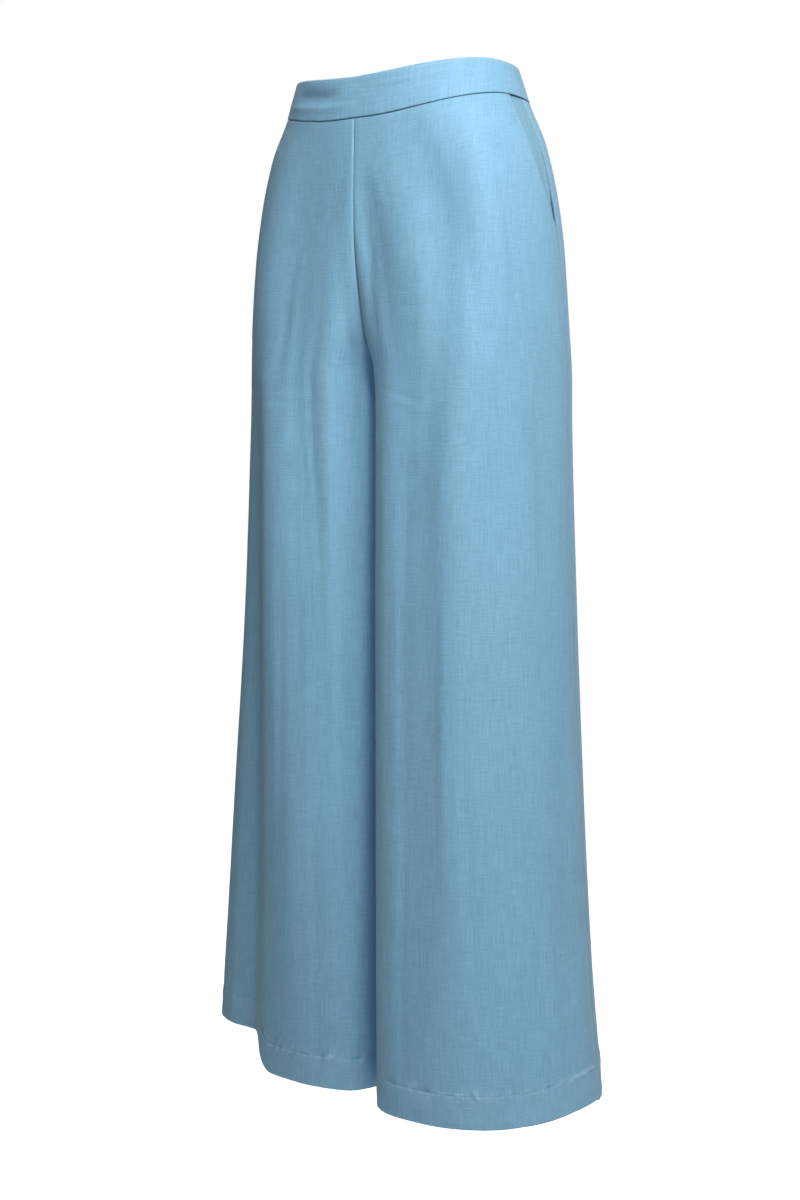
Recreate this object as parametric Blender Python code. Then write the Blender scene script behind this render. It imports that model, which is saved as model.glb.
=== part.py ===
"""Palazzo trousers in the shape they take when worn, with nobody inside.

Units are metres and +Z is up. +X is the wearer's left and the front faces -Y.
The origin is the middle of the waist, level with the waistband's top at the
side seams. Each half of the garment is one smooth surface: a stack of closed
rings, one for each distance down from the waist. Above the crotch a ring is
cut off by the body's middle plane, and that cut is the rise seam. Below the
crotch the whole ring is a leg. Every cloth piece is a wall over this surface,
and pieces that lie under another one use its points, moved inward.
"""
import math
from collections import namedtuple
from functools import lru_cache

import bmesh
import bpy
from mathutils import Matrix, Vector

# Driving sizes
BAND_HEIGHT = 0.034
HEM_DOWN = 1.053
CROTCH_DOWN = 0.304
SEAM_GAP = 0.0003
CLOTH = 0.0015
HEM_CLOTH = 0.0026
HEM_BAND = 0.032
BAND_CLOTH = 0.0024
BAND_PROUD = 0.0006

# The waistline: level beside the pockets, it dips to the centre front and
# rises to the centre back. The seam under the band dips further than the
# band's top and is level again sooner. Shares run from side to middle.
TOP_DIP = 0.0158
SEAM_DIP = 0.0228
DIP_STARTS_AT = 0.10
TOP_DIP_FULL_AT = 1.00
SEAM_DIP_FULL_AT = 0.92
BACK_RISE = 0.010
DIP_FADE_DOWN = 0.254

# Slant pockets: the opening runs from the waist seam to the side seam
POCKET_WIDTH_SHARE = 0.075
POCKET_END_DOWN = 0.163
POCKET_CURVE = 3.0
FACING_CLOTH = 0.0012
FACING_UNDER = 3
BAG_END_DOWN = 0.268
BAG_CLOTH = 0.0014
BAG_COLUMNS = (1, 9)

# Closed zip at the centre back: only its slider and pull show
ZIP_DOWN = 0.012
SLIDER_SIZE = (0.0064, 0.0085, 0.0014)
EAR_GAP = 0.0032
EAR_CLOTH = 0.0010
PIN_RADIUS = 0.00045
BARREL_RADIUS = 0.00135
BARREL_BORE = 0.00075
PULL_LENGTH = 0.0185
PULL_CLOTH = 0.0009

# A ring of the surface. All are distances from the middle of the waist:
# outer and inner are its reach along X, front and back its reach along Y at
# front_x and back_x, and mid_y is where it is widest. square says how boxy
# its outer half is: 2 is an ellipse, and less is more pointed.
Ring = namedtuple("Ring", "down outer inner front_x front back_x back mid_y square")
BODY_RINGS = (
    #    down   outer   inner  front_x front  back_x  back   mid_y  square
    Ring(0.000, 0.1190, -0.119, 0.000, 0.089, 0.000, 0.089, 0.000, 2.30),
    Ring(0.034, 0.1290, -0.114, 0.000, 0.093, 0.000, 0.095, 0.000, 2.45),
    Ring(0.079, 0.1460, -0.095, 0.010, 0.094, 0.003, 0.100, 0.000, 2.75),
    Ring(0.119, 0.1560, -0.072, 0.028, 0.095, 0.012, 0.103, 0.001, 2.75),
    Ring(0.169, 0.1630, -0.048, 0.050, 0.097, 0.030, 0.107, 0.002, 2.70),
    Ring(0.219, 0.1670, -0.025, 0.066, 0.100, 0.050, 0.109, 0.003, 2.55),
    Ring(0.269, 0.1690, -0.012, 0.075, 0.102, 0.070, 0.109, 0.004, 2.50),
    Ring(0.304, 0.1700, 0.00015, 0.078, 0.103, 0.080, 0.109, 0.005, 2.50),
)
LEG_RINGS = {
    "left": (
        Ring(0.354, 0.1710, 0.004, 0.078, 0.103, 0.085, 0.108, 0.005, 2.45),
        Ring(0.554, 0.1790, 0.004, 0.080, 0.105, 0.090, 0.109, 0.006, 2.35),
        Ring(0.754, 0.1905, 0.005, 0.082, 0.107, 0.096, 0.112, 0.008, 2.20),
        Ring(0.924, 0.2030, 0.006, 0.084, 0.109, 0.102, 0.115, 0.010, 2.05),
        Ring(1.053, 0.2170, 0.008, 0.086, 0.110, 0.106, 0.119, 0.012, 1.95),
    ),
    "right": (
        Ring(0.354, 0.1740, 0.004, 0.076, 0.101, 0.085, 0.109, 0.005, 2.45),
        Ring(0.554, 0.1930, 0.004, 0.074, 0.097, 0.092, 0.110, 0.010, 2.20),
        Ring(0.754, 0.2220, 0.004, 0.072, 0.091, 0.100, 0.112, 0.018, 1.95),
        Ring(0.924, 0.2460, 0.004, 0.070, 0.086, 0.108, 0.114, 0.024, 1.80),
        Ring(1.053, 0.2650, 0.004, 0.070, 0.083, 0.112, 0.116, 0.028, 1.70),
    ),
}
INNER_SQUARE = 3.2

# The side seam as a turn round the ring, behind the widest point. It runs
# further forward over the hip than down the leg.
HIP_SEAM_TURN = -math.radians(8.5)
LEG_SEAM_TURN = -math.radians(18.0)
SEAM_MOVES_FROM = 0.10
SEAM_MOVES_TO = 0.32

SIDES = {"left": 1.0, "right": -1.0}
RING_STEPS = 160

# The hem rides up where the outside of each leg flares. It has its full height
# up to one share of the ring from the side seam, and none from another.
HemShift = namedtuple("HemShift", "side height full_to none_from")
HEM_SHIFTS = (
    HemShift("right", 0.033, 0.37, 0.49),
    HemShift("left", 0.012, 0.02, 0.40),
    HemShift("left", -0.006, 0.00, 0.07),
)
HEM_SHIFT_START = 0.72

# Large folds: where they start and end down the leg, their place along the
# ring from the side seam at each end, their reach to each side as a share of
# the ring, and their height, negative for a trough.
Fold = namedtuple("Fold", "side face start end along_start along_end reach height")
FOLDS = (
    #    side     face     start  end    along  along  reach  height
    Fold("left", "front", 0.070, 0.340, 0.615, 0.650, 0.085, -0.0030),
    Fold("left", "front", 0.080, 0.340, 0.505, 0.530, 0.080, 0.0020),
    Fold("left", "front", 0.100, 0.400, 0.390, 0.500, 0.085, -0.0040),
    Fold("left", "front", 0.260, 1.000, 0.520, 0.535, 0.085, -0.0035),
    Fold("left", "front", 0.450, 1.300, 0.140, 0.260, 0.085, 0.0020),
    Fold("right", "front", 0.200, 0.900, 0.575, 0.630, 0.080, 0.0030),
    Fold("right", "front", 0.160, 0.820, 0.660, 0.700, 0.080, -0.0030),
    Fold("right", "front", 0.240, 1.500, 0.400, 0.345, 0.100, -0.0130),
    Fold("right", "front", 0.260, 1.500, 0.230, 0.190, 0.110, 0.0050),
    Fold("left", "front", 0.040, 0.340, 0.420, 0.520, 0.110, -0.0021),
    Fold("left", "front", 0.020, 1.200, 0.540, 0.640, 0.110, -0.0020),
    Fold("left", "front", 0.040, 0.340, 0.380, 0.280, 0.110, -0.0019),
    Fold("left", "front", 0.040, 0.340, 0.260, 0.360, 0.045, 0.0018),
    Fold("left", "front", 0.200, 0.750, 0.540, 0.640, 0.110, -0.0018),
    Fold("left", "front", 0.020, 1.200, 0.380, 0.280, 0.110, -0.0017),
    Fold("left", "front", 0.040, 0.340, 0.620, 0.720, 0.045, -0.0017),
    Fold("left", "front", 0.040, 0.340, 0.220, 0.320, 0.045, 0.0016),
    Fold("left", "front", 0.020, 1.200, 0.060, 0.060, 0.110, 0.0016),
    Fold("left", "front", 0.040, 0.340, 0.140, 0.240, 0.110, -0.0016),
    Fold("left", "front", 0.040, 0.340, 0.420, 0.320, 0.110, -0.0013),
    Fold("left", "front", 0.020, 1.200, 0.660, 0.560, 0.075, -0.0011),
    Fold("right", "front", 0.300, 1.050, 0.460, 0.560, 0.110, 0.0034),
    Fold("right", "front", 0.200, 0.750, 0.780, 0.680, 0.110, -0.0034),
    Fold("right", "front", 0.200, 0.750, 0.620, 0.620, 0.110, -0.0028),
    Fold("right", "front", 0.040, 0.340, 0.460, 0.560, 0.110, -0.0025),
    Fold("right", "front", 0.020, 1.200, 0.860, 0.760, 0.110, 0.0024),
    Fold("right", "front", 0.020, 1.200, 0.580, 0.680, 0.075, -0.0024),
    Fold("right", "front", 0.200, 0.750, 0.660, 0.560, 0.110, -0.0023),
    Fold("right", "front", 0.100, 0.500, 0.500, 0.600, 0.110, -0.0023),
    Fold("right", "front", 0.040, 0.340, 0.420, 0.520, 0.110, -0.0022),
    Fold("right", "front", 0.100, 0.500, 0.540, 0.640, 0.110, -0.0020),
    Fold("right", "front", 0.100, 0.500, 0.700, 0.800, 0.075, -0.0018),
    Fold("right", "front", 0.020, 1.200, 0.740, 0.740, 0.045, -0.0009),
    Fold("left", "front", 0.040, 0.340, 0.380, 0.480, 0.110, -0.0017),
    Fold("left", "front", 0.040, 0.340, 0.260, 0.260, 0.045, 0.0010),
    Fold("left", "front", 0.100, 0.500, 0.500, 0.600, 0.110, -0.0015),
    Fold("left", "front", 0.100, 0.500, 0.220, 0.320, 0.110, -0.0014),
    Fold("left", "front", 0.040, 0.340, 0.620, 0.720, 0.075, -0.0013),
    Fold("left", "front", 0.020, 1.200, 0.060, 0.060, 0.110, 0.0013),
    Fold("left", "front", 0.020, 1.200, 0.340, 0.340, 0.110, -0.0012),
    Fold("right", "front", 0.020, 1.200, 0.780, 0.680, 0.075, -0.0023),
    Fold("right", "front", 0.200, 0.750, 0.780, 0.780, 0.045, -0.0021),
    Fold("right", "front", 0.100, 0.500, 0.780, 0.880, 0.075, 0.0019),
    Fold("right", "front", 0.100, 0.500, 0.820, 0.820, 0.045, 0.0018),
    Fold("right", "front", 0.200, 0.750, 0.740, 0.740, 0.045, -0.0018),
    Fold("right", "front", 0.040, 0.340, 0.380, 0.480, 0.110, -0.0016),
    Fold("right", "front", 0.250, 1.550, 0.780, 0.680, 0.045, -0.0016),
    Fold("right", "front", 0.300, 1.050, 0.500, 0.600, 0.075, 0.0013),
    Fold("right", "front", 0.020, 1.200, 0.740, 0.640, 0.110, -0.0010),
    Fold("left", "back", 0.200, 0.900, 0.560, 0.600, 0.100, -0.0050),
    Fold("left", "back", 0.330, 1.300, 0.380, 0.360, 0.090, 0.0040),
    Fold("left", "back", 0.420, 1.400, 0.200, 0.230, 0.090, -0.0050),
    Fold("left", "back", 0.500, 1.300, 0.760, 0.740, 0.080, -0.0030),
    Fold("right", "back", 0.220, 1.000, 0.600, 0.560, 0.100, -0.0050),
    Fold("right", "back", 0.300, 1.500, 0.400, 0.440, 0.090, 0.0050),
    Fold("right", "back", 0.380, 1.500, 0.230, 0.300, 0.090, -0.0070),
    Fold("right", "back", 0.550, 1.350, 0.780, 0.760, 0.080, -0.0030),
)
FOLD_SEAM_FADE = 0.06
FOLD_REACH = 0.80
REACH_GROWS_FROM = 0.27
REACH_FULL_AT = 0.42

# Mesh of the panels: distances down of their rows, and their columns
SETTLED_DOWN = 0.240
WAIST_ROWS = 11
CROTCH_ROWS = (0.257, 0.272, 0.284, 0.295)
LEG_ROWS = 14
HEM_ROWS = 2
COLUMNS = 22
POCKET_COLUMNS = 4
BAND_COLUMNS = 14
BAND_ROWS = 3

# Colours and finish
CLOTH_BLUE = (0.25, 0.51, 0.71)
FACING_BLUE = (0.26, 0.46, 0.60)
BAG_BLUE = (0.36, 0.56, 0.70)
PULL_BLUE = (0.24, 0.44, 0.60)


def blend(low, high, value):
    """0 up to low, 1 from high on, and a smooth step between."""
    share = min(max((value - low) / (high - low), 0.0), 1.0)
    return share * share * (3.0 - 2.0 * share)


def tangent(one, other):
    """Slope at a point between two slopes, level where they disagree."""
    if one * other <= 0.0:
        return 0.0
    return 2.0 * one * other / (one + other)


def curve_value(xs, ys, x):
    """Value at x of a smooth curve through the points, which never overshoots."""
    x = min(max(x, xs[0]), xs[-1])
    last = len(xs) - 2
    k = 0
    while k < last and x > xs[k + 1]:
        k += 1
    slopes = [(ys[i + 1] - ys[i]) / (xs[i + 1] - xs[i]) for i in range(last + 1)]
    start = tangent(slopes[k - 1], slopes[k]) if k > 0 else slopes[k]
    end = tangent(slopes[k], slopes[k + 1]) if k < last else slopes[k]
    width = xs[k + 1] - xs[k]
    t = (x - xs[k]) / width
    ends = ys[k] * (1 + 2 * t) * (1 - t) ** 2 + ys[k + 1] * t * t * (3 - 2 * t)
    return ends + width * (start * t * (1 - t) ** 2 - end * t * t * (1 - t))


@lru_cache(maxsize=None)
def ring_at(side, down):
    """The ring of one half of the garment at a distance down."""
    rows = BODY_RINGS + LEG_RINGS[side]
    columns = list(zip(*rows))
    return Ring(*(curve_value(columns[0], column, down) for column in columns))


def ring_point(ring, turn):
    """Point of a ring. turn is 0 at its widest and positive round the front."""
    if turn >= 0:
        peak, reach = ring.front_x, -ring.front - ring.mid_y
    else:
        peak, reach = ring.back_x, ring.back - ring.mid_y
    across = math.cos(turn)
    power = 2.0 / (ring.square if across > 0 else INNER_SQUARE)
    side_reach = abs((ring.outer if across > 0 else ring.inner) - peak)
    x = peak + math.copysign(side_reach * abs(across) ** power, across)
    y = ring.mid_y + reach * abs(math.sin(turn)) ** power
    return x, y


@lru_cache(maxsize=None)
def ring_lengths(side, face, down):
    """Turns from the side seam to the inner edge, points there and lengths."""
    ring = ring_at(side, down)
    end = math.pi if face == "front" else -math.pi
    move = blend(SEAM_MOVES_FROM, SEAM_MOVES_TO, down)
    start = HIP_SEAM_TURN + (LEG_SEAM_TURN - HIP_SEAM_TURN) * move
    turns = [start + (end - start) * k / RING_STEPS for k in range(RING_STEPS + 1)]
    points = [ring_point(ring, turn) for turn in turns]
    lengths = [0.0]
    for p, q in zip(points, points[1:]):
        lengths.append(lengths[-1] + math.dist(p, q))
    return turns, points, lengths


def turn_at(side, face, along, down):
    """Turn at a share of the ring's length from the side seam."""
    turns, _, lengths = ring_lengths(side, face, down)
    goal = along * lengths[-1]
    low, high = 0, RING_STEPS
    while high - low > 1:
        middle = (low + high) // 2
        if lengths[middle] <= goal:
            low = middle
        else:
            high = middle
    part = (goal - lengths[low]) / (lengths[high] - lengths[low])
    return turns[low] + (turns[high] - turns[low]) * part


@lru_cache(maxsize=None)
def first_along(side, face, down):
    """Share of the ring where a piece starts, just off the side seam."""
    return 0.5 * SEAM_GAP / ring_lengths(side, face, down)[2][-1]


@lru_cache(maxsize=None)
def last_along(side, face, down):
    """Share of the ring at its inner edge: the middle plane, or the inseam."""
    _, points, lengths = ring_lengths(side, face, down)
    plane = 0.5 * SEAM_GAP
    if down >= CROTCH_DOWN:
        return 1.0 - first_along(side, face, down)
    k = RING_STEPS
    while points[k - 1][0] < plane:
        k -= 1
    x0, x1 = points[k - 1][0], points[k][0]
    part = (x0 - plane) / (x0 - x1)
    return (lengths[k - 1] + (lengths[k] - lengths[k - 1]) * part) / lengths[-1]


def fold_height(side, face, along, down):
    """Sum of the folds at a place on the surface, outward."""
    total = 0.0
    for fold in FOLDS:
        if (fold.side, fold.face) != (side, face) or not fold.start < down < fold.end:
            continue
        run = (down - fold.start) / (fold.end - fold.start)
        centre = fold.along_start + (fold.along_end - fold.along_start) * run
        offset = (along - centre) / fold.reach
        if abs(offset) < 1.0:
            swell = math.sin(math.pi * run) ** 0.7
            total += fold.height * swell * math.cos(0.5 * math.pi * offset) ** 2
    seams = blend(0.0, FOLD_SEAM_FADE, along)
    reach = FOLD_REACH + (1.0 - FOLD_REACH) * blend(REACH_GROWS_FROM, REACH_FULL_AT, down)
    reach = min(last_along(side, face, down), reach)
    seams *= blend(0.0, FOLD_SEAM_FADE, reach - along)
    return total * seams


def waist_lift(face, share, down):
    """Height of the waistline's shape at a share of the way to the middle."""
    band = min(down / BAND_HEIGHT, 1.0)
    dip = TOP_DIP + (SEAM_DIP - TOP_DIP) * band
    full_at = TOP_DIP_FULL_AT + (SEAM_DIP_FULL_AT - TOP_DIP_FULL_AT) * band
    if face == "back":
        lift = BACK_RISE * blend(0.0, 1.0, share)
    else:
        lift = -dip * blend(DIP_STARTS_AT, full_at, share)
    return lift * (1.0 - blend(BAND_HEIGHT, DIP_FADE_DOWN, down))


def hem_lift(side, along, down):
    """How far the lower leg rides up, strongest at the hem."""
    total = 0.0
    for shift in HEM_SHIFTS:
        if shift.side == side:
            place = 1.0 - blend(shift.full_to, shift.none_from, along)
            total += shift.height * place * blend(HEM_SHIFT_START, HEM_DOWN, down)
    return total


def surface(side, face, along, down, inward=0.0):
    """Point at a share along a ring, moved inward off the surface."""
    ring = ring_at(side, down)
    turn = turn_at(side, face, along, down)
    x, y = ring_point(ring, turn)
    step = 0.004
    x0, y0 = ring_point(ring, turn - step)
    x1, y1 = ring_point(ring, turn + step)
    length = math.hypot(x1 - x0, y1 - y0)
    out = fold_height(side, face, along, down) - inward
    # a larger turn runs clockwise seen from above, so this normal is outward
    x = max(x - (y1 - y0) / length * out, 0.5 * SEAM_GAP)
    y += (x1 - x0) / length * out
    share = along / last_along(side, face, down)
    z = -down + waist_lift(face, share, down) + hem_lift(side, along, down)
    return Vector((SIDES[side] * x, y, z))


def panel_rows():
    """Distances down of the panels' rows, closer where the rise seam turns."""
    top = BAND_HEIGHT + 0.5 * SEAM_GAP
    rows = [top + (SETTLED_DOWN - top) * k / (WAIST_ROWS - 1) for k in range(WAIST_ROWS)]
    rows += CROTCH_ROWS
    hem_top = HEM_DOWN - HEM_BAND
    leg = hem_top - CROTCH_DOWN
    rows += [CROTCH_DOWN + leg * (k / LEG_ROWS) ** 1.15 for k in range(LEG_ROWS + 1)]
    rows += [hem_top + HEM_BAND * (k + 1) / HEM_ROWS for k in range(HEM_ROWS)]
    return rows


def slant_along(side, down):
    """Share of the ring at the pocket's opening, 0 below the pocket."""
    if down >= POCKET_END_DOWN:
        return 0.0
    run = (down - BAND_HEIGHT) / (POCKET_END_DOWN - BAND_HEIGHT)
    return POCKET_WIDTH_SHARE * (1.0 - max(run, 0.0) ** POCKET_CURVE)


def panel_alongs(side, face, down):
    """Places of a panel's columns along the ring at a distance down.

    The columns keep their places from the hip down, and only the inner ones
    move where the rise seam turns in to the crotch.
    """
    start = first_along(side, face, down)
    if face == "front":
        start = max(start, slant_along(side, down))
    end = last_along(side, face, down)
    settled = min(end, last_along(side, face, SETTLED_DOWN))
    places = []
    for k in range(COLUMNS + 1):
        share = k / COLUMNS
        places.append(start + share * (settled - start) + (end - settled) * share ** 5)
    return places


def cloth_at(down):
    """Thickness of a panel: the turned hem is thicker."""
    hem_top = HEM_DOWN - HEM_BAND
    return CLOTH + (HEM_CLOTH - CLOTH) * blend(hem_top - 0.004, hem_top + 0.004, down)


def finish(mesh_builder, name, colour, roughness, metallic=0.0):
    """Object from a bmesh, with its own material and faces pointing out."""
    bmesh.ops.recalc_face_normals(mesh_builder, faces=mesh_builder.faces[:])
    if mesh_builder.calc_volume(signed=True) < 0:
        bmesh.ops.reverse_faces(mesh_builder, faces=mesh_builder.faces[:])
    mesh = bpy.data.meshes.new(name)
    mesh_builder.to_mesh(mesh)
    mesh_builder.free()
    mesh.shade_smooth()
    mesh.set_sharp_from_angle(angle=math.radians(40))
    material = bpy.data.materials.new(name)
    material.use_nodes = True
    shader = material.node_tree.nodes["Principled BSDF"]
    shader.inputs["Base Color"].default_value = (*colour, 1.0)
    shader.inputs["Roughness"].default_value = roughness
    shader.inputs["Metallic"].default_value = metallic
    mesh.materials.append(material)
    piece = bpy.data.objects.new(name, mesh)
    bpy.context.scene.collection.objects.link(piece)
    return piece


def wall(name, outside, inside, colour, roughness=0.75):
    """Closed wall between two grids of points with the same rows and columns."""
    builder = bmesh.new()
    rows, columns = len(outside), len(outside[0])
    grids = [[[builder.verts.new(p) for p in row] for row in grid] for grid in (outside, inside)]
    for grid in grids:
        for i in range(rows - 1):
            for j in range(columns - 1):
                a, b = grid[i][j], grid[i][j + 1]
                c, d = grid[i + 1][j + 1], grid[i + 1][j]
                builder.faces.new((a, b, c))
                builder.faces.new((a, c, d))
    rim = [(0, j) for j in range(columns)]
    rim += [(i, columns - 1) for i in range(1, rows)]
    rim += [(rows - 1, j) for j in range(columns - 2, -1, -1)]
    rim += [(i, 0) for i in range(rows - 2, 0, -1)]
    front, back = grids
    for (i, j), (k, m) in zip(rim, rim[1:] + rim[:1]):
        builder.faces.new((front[i][j], front[k][m], back[k][m], back[i][j]))
    return finish(builder, name, colour, roughness)


def build_panel(side, face):
    """One of the four panels, from the waist seam to the hem."""
    outside, inside = [], []
    for down in panel_rows():
        places = panel_alongs(side, face, down)
        cloth = cloth_at(down)
        outside.append([surface(side, face, along, down) for along in places])
        inside.append([surface(side, face, along, down, cloth) for along in places])
    wall(f"{face}_{side}", outside, inside, CLOTH_BLUE)


def build_pocket_facing(side):
    """Side piece seen in the pocket's opening, tucked under the front panel."""
    depth = CLOTH + SEAM_GAP
    outside, inside = [], []
    for down in panel_rows():
        if down > POCKET_END_DOWN:
            break
        places = panel_alongs(side, "front", down)
        start = first_along(side, "front", down)
        seen = [start + (places[0] - start) * k / POCKET_COLUMNS for k in range(POCKET_COLUMNS)]
        row = seen + places[:FACING_UNDER + 1]
        outside.append([surface(side, "front", along, down, depth) for along in row])
        inside.append([surface(side, "front", along, down, depth + FACING_CLOTH) for along in row])
    wall(f"pocket_facing_{side}", outside, inside, FACING_BLUE)


def build_pocket_bag(side):
    """Flat pocket bag, both layers as one, hanging inside the front panel."""
    depth = CLOTH + FACING_CLOTH + 2 * SEAM_GAP
    first, last = BAG_COLUMNS
    outside, inside = [], []
    for down in panel_rows():
        if down > BAG_END_DOWN:
            break
        places = panel_alongs(side, "front", down)[first:last]
        outside.append([surface(side, "front", along, down, depth) for along in places])
        inside.append([surface(side, "front", along, down, depth + BAG_CLOTH) for along in places])
    wall(f"pocket_bag_{side}", outside, inside, BAG_BLUE)


def band_row(side, face, down, inward):
    """One row of a waistband half, from the side seam to the middle."""
    start = first_along(side, face, down)
    end = last_along(side, face, down)
    places = [start + (end - start) * k / BAND_COLUMNS for k in range(BAND_COLUMNS + 1)]
    return [surface(side, face, along, down, inward) for along in places]


def build_waistband():
    """Front band from side seam to side seam, and two back bands."""
    bottom = BAND_HEIGHT - 0.5 * SEAM_GAP
    downs = [bottom * k / BAND_ROWS for k in range(BAND_ROWS + 1)]
    layers = (-BAND_PROUD, BAND_CLOTH - BAND_PROUD)
    front = []
    for inward in layers:
        grid = []
        for down in downs:
            left = band_row("left", "front", down, inward)
            right = band_row("right", "front", down, inward)
            middle = left[-1].lerp(right[-1], 0.5)
            grid.append(left[:-1] + [middle] + right[-2::-1])
        front.append(grid)
    wall("waistband_front", front[0], front[1], CLOTH_BLUE)
    for side in SIDES:
        outside, inside = [
            [band_row(side, "back", down, inward) for down in downs] for inward in layers
        ]
        wall(f"waistband_back_{side}", outside, inside, CLOTH_BLUE)


def zip_frame():
    """Place of the zip's slider: X across, Y out of the cloth, Z up along it."""
    top = surface("left", "back", last_along("left", "back", 0.0), 0.0, -BAND_PROUD)
    low_down = BAND_HEIGHT - SEAM_GAP
    low = surface("left", "back", last_along("left", "back", low_down), low_down, -BAND_PROUD)
    up = (top - low)
    up.x = 0.0
    up.normalize()
    across = Vector((1.0, 0.0, 0.0))
    out = up.cross(across)
    down_point = top - up * ZIP_DOWN
    origin = Vector((0.0, down_point.y, down_point.z)) + out * SEAM_GAP
    frame = Matrix((across, out, up)).transposed().to_4x4()
    frame.translation = origin
    return frame


def extruded(outline, half_width, name):
    """Plate made from an outline in the Y-Z plane, as wide as it is along X."""
    builder = bmesh.new()
    left = [builder.verts.new((-half_width, y, z)) for y, z in outline]
    right = [builder.verts.new((half_width, y, z)) for y, z in outline]
    builder.faces.new(left)
    builder.faces.new(right[::-1])
    for k in range(len(outline)):
        m = (k + 1) % len(outline)
        builder.faces.new((left[m], left[k], right[k], right[m]))
    return finish(builder, name, PULL_BLUE, 0.35)


def cylinder(radius, half_width, name, segments=16):
    """Round bar along X."""
    ring = [2 * math.pi * k / segments for k in range(segments)]
    outline = [(radius * math.cos(a), radius * math.sin(a)) for a in ring]
    return extruded(outline, half_width, name)


def boolean(target, tool, operation):
    """Join a tool to a piece or cut it out, and remove the tool."""
    modifier = target.modifiers.new("boolean", "BOOLEAN")
    modifier.operation = operation
    modifier.object = tool
    graph = bpy.context.evaluated_depsgraph_get()
    mesh = bpy.data.meshes.new_from_object(target.evaluated_get(graph))
    target.modifiers.remove(modifier)
    target.data = mesh
    bpy.data.objects.remove(tool)


def pin_height():
    """Distance of the pull's hinge from the slider's back."""
    return SLIDER_SIZE[2] + BARREL_RADIUS + SEAM_GAP


def build_slider(frame):
    """Slider plate with two ears and the pin that carries the pull."""
    width, height, thick = SLIDER_SIZE
    bevel = 0.0006
    outline = [
        (0.0, -0.5 * height), (thick - bevel, -0.5 * height), (thick, -0.5 * height + bevel),
        (thick, 0.5 * height - bevel), (thick - bevel, 0.5 * height), (0.0, 0.5 * height),
    ]
    slider = extruded(outline, 0.5 * width, "zip_slider")
    pin = pin_height()
    ear_radius = 0.0013
    arc = [math.pi * k / 8 for k in range(9)]
    ear_outline = [(0.5 * thick, ear_radius * 1.5)]
    ear_outline += [(pin + ear_radius * math.sin(a), ear_radius * math.cos(a)) for a in arc]
    ear_outline += [(0.5 * thick, -ear_radius * 1.5)]
    for sign in (-1, 1):
        ear = extruded(ear_outline, 0.5 * EAR_CLOTH, "ear")
        ear.location.x = sign * 0.5 * (EAR_GAP + EAR_CLOTH)
        bpy.context.view_layer.update()
        boolean(slider, ear, "UNION")
    bar = cylinder(PIN_RADIUS, 0.5 * EAR_GAP + 0.5 * EAR_CLOTH, "pin", 12)
    bar.location.y = pin
    bpy.context.view_layer.update()
    boolean(slider, bar, "UNION")
    slider.matrix_world = frame
    return slider


def build_pull(frame):
    """Drop-shaped pull on the slider's pin, with its origin on the hinge."""
    half = 0.5 * EAR_GAP - SEAM_GAP
    pull = cylinder(BARREL_RADIUS, half, "zip_pull", 20)
    shape = [(0.0012, 0.0), (0.0012, 0.20), (0.0017, 0.45), (0.0027, 0.72), (0.0030, 0.85)]
    edge = [(width, -share * PULL_LENGTH) for width, share in shape]
    tip = [math.radians(a) for a in (20, 45, 70, 90)]
    centre = -0.85 * PULL_LENGTH
    edge += [(0.0030 * math.cos(a), centre - 0.0028 * math.sin(a)) for a in tip]
    outline = edge + [(-x, z) for x, z in edge[-2::-1]]
    builder = bmesh.new()
    layers = []
    for y in (-0.5 * PULL_CLOTH, 0.5 * PULL_CLOTH):
        layers.append([builder.verts.new((x, y, z)) for x, z in outline])
    builder.faces.new(layers[0])
    builder.faces.new(layers[1][::-1])
    for k in range(len(outline)):
        m = (k + 1) % len(outline)
        builder.faces.new((layers[0][m], layers[0][k], layers[1][k], layers[1][m]))
    plate = finish(builder, "plate", PULL_BLUE, 0.35)
    bpy.context.view_layer.update()
    boolean(pull, plate, "UNION")
    boolean(pull, cylinder(BARREL_BORE, 2 * half, "bore"), "DIFFERENCE")
    hinge = Matrix.Translation((0.0, pin_height(), 0.0))
    pull.matrix_world = frame @ hinge
    return pull


def main():
    for item in list(bpy.data.objects):
        bpy.data.objects.remove(item)
    for side in SIDES:
        for face in ("front", "back"):
            build_panel(side, face)
        build_pocket_facing(side)
        build_pocket_bag(side)
    build_waistband()
    frame = zip_frame()
    build_slider(frame)
    build_pull(frame)


main()
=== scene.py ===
"""Looks of the palazzo trousers: fine cloth shells, sewing, cloth material, light and camera."""
import math
from collections import namedtuple

import bpy
import numpy as np
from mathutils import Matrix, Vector


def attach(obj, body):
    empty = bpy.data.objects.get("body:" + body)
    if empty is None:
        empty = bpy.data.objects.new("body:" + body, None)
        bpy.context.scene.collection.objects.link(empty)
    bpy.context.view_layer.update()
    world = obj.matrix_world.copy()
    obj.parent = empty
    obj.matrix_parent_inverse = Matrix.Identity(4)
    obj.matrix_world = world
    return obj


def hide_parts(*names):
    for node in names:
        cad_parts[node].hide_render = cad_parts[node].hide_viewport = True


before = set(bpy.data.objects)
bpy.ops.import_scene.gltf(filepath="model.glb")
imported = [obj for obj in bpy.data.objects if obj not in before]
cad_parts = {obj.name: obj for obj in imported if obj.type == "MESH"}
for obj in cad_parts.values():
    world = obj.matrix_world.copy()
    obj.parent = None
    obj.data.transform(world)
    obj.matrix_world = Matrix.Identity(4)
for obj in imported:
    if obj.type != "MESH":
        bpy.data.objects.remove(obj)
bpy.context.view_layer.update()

# ---------------------------------------------------------------- sizes
BAND_HEIGHT = 0.034
HEM_DOWN = 1.053
CROTCH_DOWN = 0.304
SEAM_GAP = 0.0003
PANEL_TOP = BAND_HEIGHT + 0.5 * SEAM_GAP
SHELL = 0.0010
HEM_SHELL = 0.0019
HEM_BAND = 0.032
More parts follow.
